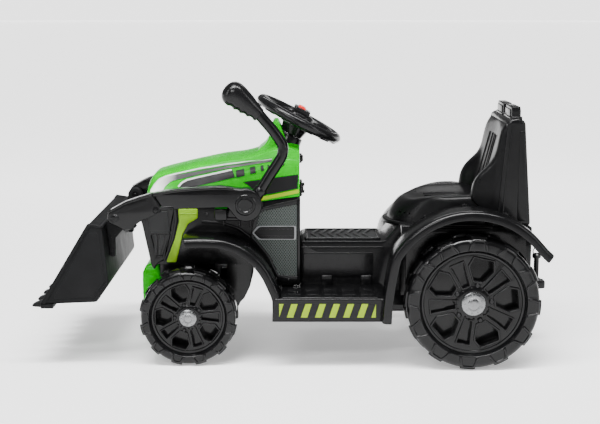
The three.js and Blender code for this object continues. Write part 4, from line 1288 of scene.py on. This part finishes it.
# ---------------------------------------------------------------- steering wheel and controls
def steering_wheel():
    rim_profile = [(76 + 9.6 * math.cos(a),
                    9.2 * math.sin(a)) for a in (2 * math.pi * k / 28 for k in range(28))]
    pieces = [
        lathe("rim", rim_profile + rim_profile[:1], 128, COLUMN_FRAME),
        lathe("hub", [(5.8, -32), (19, -32), (21, -31), (26, -12), (28, -8), (28.5, 3), (26.5, 8),
                      (23, 10.4), (5.8, 11), (5.8, -32)], 72, COLUMN_FRAME),
        lathe("cover", [(0, 6), (22, 6), (22, 11.2), (19, 12.6), (0, 13)], 56, COLUMN_FRAME),
    ]
    pieces.append(lathe("seam", [(84.2, -1), (86.1, -0.5), (86.1, 0.5), (84.2, 1), (84.2, -1)], 128,
                        COLUMN_FRAME))
    for degrees in (90, 180, 270):
        turn = COLUMN_FRAME @ Matrix.Rotation(math.radians(degrees), 4, "Z")
        rings = []
        for x, half, low, high in ((18, 14, -10, 6), (30, 11.5, -9, 3), (45, 10, -8, 1),
                                   (60, 9.5, -7.6, 1.4), (70, 10.5, -7, 2.6)):
            corners = [(-half, low, 4), (half, low, 4), (half, high, 4), (-half, high, 4)]
            rings.append([turn @ Vector((x * MM, y * MM, z * MM)) for y, z in rounded(corners, 4)])
        pieces.append(skin("spoke", rings))
        pieces.append(local_block("inlay", turn, (32, -4.5, 0), (62, 4.5, 3.2), 1.4, 3))
    pod = flat("pod", rounded([(-14, -22, 6), (18, -22, 6), (18, 22, 6), (-14, 22, 6)], 6), 8, 20, 2.2, (),
               COLUMN_FRAME)
    wells = [local_block("well", COLUMN_FRAME, (-3.6, y - 5.6, 14), (11.6, y + 5.6, 26), 0) for y in (12,
                                                                                                      -12)]
    pieces.append(cut(pod, wells))
    under = Matrix.Translation((76 * MM, 0, -8.4 * MM))
    for k in range(12):
        spot = COLUMN_FRAME @ Matrix.Rotation(math.radians(30 * k + 15), 4, "Z") @ under
        pieces.append(local_block("finger", spot, (-5, -11, -1.6), (5, 11, 1.2), 1.3, 2))
    place("steering_wheel", pieces, "steering", RUBBERY, "black_plastic", "steering_wheel")
    for label, side in SIDES:
        name = f"horn_button_{label}"
        pieces = [local_block(name, COLUMN_FRAME, (-3, side * 12 - 5, 16.5), (11, side * 12 + 5, 22.6),
                              1.3, 3),
                  lathe("dimple", [(0, 22), (3.2, 22), (3.2, 22.9), (2.4, 23.2), (0, 22.9)], 24,
                        COLUMN_FRAME @ Matrix.Translation((4 * MM, side * 12 * MM, 0)))]
        place(name, pieces, f"horn_{label}", RED, "red_plastic", name)


def along_x(x, y, z):
    """A frame whose local Z axis points back, towards the rider."""
    return Matrix.Translation(at(x, y, z)) @ Matrix.Rotation(-math.pi / 2, 4, "Y")


def controls():
    face = along_x(303, 35, 303)
    bezel = local_block("bezel", face, (-13.5, -17, 0.2), (14, 17, 4), 1.2, 3)
    pieces = [cut(bezel, [local_block("well", face, (-11, -7.5, 1), (11, 7.5, 8), 0)])]
    for x, y in ((-10.5, -13), (-10.5, 13), (11, -13), (11, 13)):
        spot = face @ Matrix.Translation((x * MM, y * MM, 0))
        pieces.append(lathe("screw", [(0, 2), (1.8, 2), (1.8, 4.4), (1.2, 4.9), (0, 4.9)], 14, spot))
    place("switch_bezel", pieces, "chassis", BODY_BLACK, "black_plastic", "switch_bezel")
    outline = [(301.4, 301, 0), (301.4, 305, 0), (297.4, 312.6, 2), (293.6, 311.8, 2), (296.2, 303, 3),
               (293.6, 294.2, 2), (297.4, 293.4, 2)]
    pieces = [plate("direction_rocker", outline, 28.6, 41.4, 1.0)]
    for z in (297.5, 308.5):
        pieces.append(block("grip", 293.6, 296.5, 30, 40, z - 0.8, z + 0.8, 0.4, 2))
    place("direction_rocker", pieces, "direction_rocker", BLACK, "black_plastic", "direction_rocker")
    spot = along_x(303, 30, 357)
    ring = lathe("power_bezel", [(6.4, 0.2), (9, 0.2), (9.2, 1), (8.6, 3.6), (7.6, 4.3), (6.6, 3.8),
                                 (6.4, 0.2)], 48, spot)
    place("power_bezel", [ring], "chassis", BLACK, "black_plastic", "power_bezel")
    button = lathe("power_button", [(0, 2.6), (5.9, 2.6), (6, 5.6), (5.4, 6.5), (3.6, 6.4), (2.8, 5.9),
                                    (0, 5.8)], 40, spot)
    place("power_button", [button], "power_button", BLACK, "black_plastic", "power_button")


def pedal():
    plate_outline = [(269, 134, 1), (272, 138.4, 2), (331, 160.6, 2), (335, 157.6, 2), (332, 154, 1),
                     (274, 132, 1)]
    pieces = [plate("pedal", plate_outline, -96, -148, 1.2), pin("barrel", 268, 134, 4, -96, -148, 0.6)]
    lean = math.atan2(156 - 135, 336 - 271)
    frame_up = Matrix.Translation(at(276, -122, 139.6)) @ Matrix.Rotation(-lean, 4, "Y")
    for k in range(5):
        pieces.append(local_block("rib", frame_up, (2 + 11 * k, -21, -1), (7 + 11 * k, 21, 1.8), 0.8, 2))
    place("pedal", pieces, "pedal", GRILLE_GREY, "grey_plastic", "pedal")


def hitch():
    outline = [(-159, -14, 7), (-111.4, -22, 2), (-111.4, 22, 2), (-159, 14, 7)]
    hole = arc(HITCH_X, 0, 5.6, 0, 345, 23)
    pieces = [plan_plate("hitch_block", outline, 108, 122, 2.0, [hole])]
    for side in (1, -1):
        pieces.append(block("cheek", -136, -112, side * 12, side * 17, 104, 126, 1.6))
    place("hitch_block", pieces, "chassis", BODY_BLACK, "black_plastic", "hitch_block")
    pin_profile = [(0, 96), (3.4, 96), (5, 98.5), (5, 122.6), (8, 122.6), (8.2, 124), (7.4, 126),
                   (5.2, 126.4), (5, 127), (5, 164), (7.6, 164.6), (8.4, 167), (8.2, 171), (6.4, 173),
                   (3, 173.2), (0, 173.2)]
    stem = lathe("hitch_pin", pin_profile, 40, Matrix.Translation(at(HITCH_X, 0, 0)))
    ring = tube("ring", [(x, 0, z) for x, z in arc(HITCH_X, 177, 7, 0, 360, 24)], 1.1)
    place("hitch_pin", [stem, ring], "hitch_pin", BLACK, "black_plastic", "hitch_pin")


# ---------------------------------------------------------------- build
for end, size in (("front", WHEEL_FRONT), ("rear", WHEEL_REAR)):
    for label, side in SIDES:
        wheel(end, size, label, side)
        wheel_cap(end, size, label, side)

hood_sides = hood()
for label, side in SIDES:
    stickers(label, side, hood_sides)
    mesh_panel(label, side)
    side_strip(label, side)
    body_details(label, side)
    side_moulding(label, side)
    arm(label, side)
    bracket(label, side)
nose()
bumper()
tread_pad()
rear_trim()
seat_pan()
seat_back()
seat_shell()
lever()
bucket()
steering_wheel()
controls()
pedal()
hitch()

for name in ("rear_body", "front_body", "floor_cover", "column_boss", "front_beam"):
    dress(name, BODY_BLACK)
for name in ("rear_axle", "knuckle_left", "knuckle_right", "tie_rod", "steering_shaft", "pivot_shaft",
             "motor"):
    dress(name, STEEL, 0.5)
dress("gearbox", NYLON)
dress("battery", GREY)


# ---------------------------------------------------------------- floor, lights and camera
FLOOR_REACH = 60
FLOOR_SIDES = 64
FLOOR_GLOW = 1.5
RIM_HEIGHT = 3
RIM_GLOW = 2.6
CAMERA_SPOT = at(302.1, 2212, 628)
CAMERA_DOWN = 9.65


def stage_floor():
    """A wide floor that is a little brighter behind the object, with a low bright rim far out."""
    surface, tree, shader = new_material("studio_floor")
    shader.inputs["Base Color"].default_value = (0.9, 0.9, 0.9, 1)
    shader.inputs["Roughness"].default_value = 0.7
    shader.inputs["Specular IOR Level"].default_value = 0.1
    shader.inputs["Emission Color"].default_value = (1, 1, 1, 1)
    split = node(tree, "ShaderNodeSeparateXYZ")
    tree.links.new(node(tree, "ShaderNodeTexCoord").outputs["Object"], split.inputs["Vector"])
    tree.links.new(ramp(tree, split.outputs["Y"], 0.6, -2, 0.15, FLOOR_GLOW),
                   shader.inputs["Emission Strength"])
    glow, tree, shader = new_material("studio_rim")
    shader.inputs["Base Color"].default_value = (0, 0, 0, 1)
    shader.inputs["Emission Color"].default_value = (1, 1, 1, 1)
    shader.inputs["Emission Strength"].default_value = RIM_GLOW
    low = [(*polar(FLOOR_REACH, 360 * k / FLOOR_SIDES), 0) for k in range(FLOOR_SIDES)]
    high = [(x, y, RIM_HEIGHT) for x, y, _ in low]
    disc = mesh_object("floor", low, [tuple(range(FLOOR_SIDES))])
    quads = [(k, (k + 1) % FLOOR_SIDES, (k + 1) % FLOOR_SIDES + FLOOR_SIDES, k + FLOOR_SIDES)
             for k in range(FLOOR_SIDES)]
    for obj, material in ((disc, surface), (mesh_object("rim", low + high, quads), glow)):
        obj.data.materials.append(material)


def area_light(name, spot, aim, width, height, power):
    data = bpy.data.lights.new(name, "AREA")
    data.shape = "RECTANGLE"
    data.size, data.size_y, data.energy = width, height, power
    lamp = bpy.data.objects.new(name, data)
    bpy.context.scene.collection.objects.link(lamp)
    lamp.location = spot
    lamp.rotation_euler = (Vector(aim) - Vector(spot)).to_track_quat("-Z", "Y").to_euler()


def sky_light(strength, towards, spread):
    """Very soft light from above that reaches the whole floor evenly."""
    data = bpy.data.lights.new("sky", "SUN")
    data.energy, data.angle = strength, math.radians(spread)
    lamp = bpy.data.objects.new("sky", data)
    bpy.context.scene.collection.objects.link(lamp)
    lamp.rotation_euler = Vector(towards).to_track_quat("-Z", "Y").to_euler()


stage_floor()
sky_light(3.6, (-0.1, -0.3, -1), 30)
area_light("key", (0.7, 2.3, 1.7), (0, 0, 0.25), 1.2, 0.3, 34)
area_light("strip", (-0.1, 0.75, 2.0), (0, 0.1, 0.25), 2.4, 0.2, 80)
area_light("back", (-0.4, -1.8, 1.9), (0, 0, 0.3), 1.8, 0.3, 10)
area_light("tail", (-2.0, 1.1, 1.1), (-0.3, 0, 0.3), 0.25, 1.4, 14)
area_light("front", (2.0, 1.1, 1.2), (0.3, 0, 0.2), 0.25, 1.4, 14)

world = bpy.data.worlds.new("studio")
world.use_nodes = True
background = world.node_tree.nodes["Background"]
background.inputs["Color"].default_value = (1, 1, 1, 1)
background.inputs["Strength"].default_value = 0.2
bpy.context.scene.world = world

camera_data = bpy.data.cameras.new("camera")
camera_data.lens = 72
camera_data.sensor_width = 36
camera = bpy.data.objects.new("camera", camera_data)
bpy.context.scene.collection.objects.link(camera)
camera.location = CAMERA_SPOT
camera.rotation_euler = (math.radians(90 - CAMERA_DOWN), 0, math.radians(180))
bpy.context.scene.camera = camera
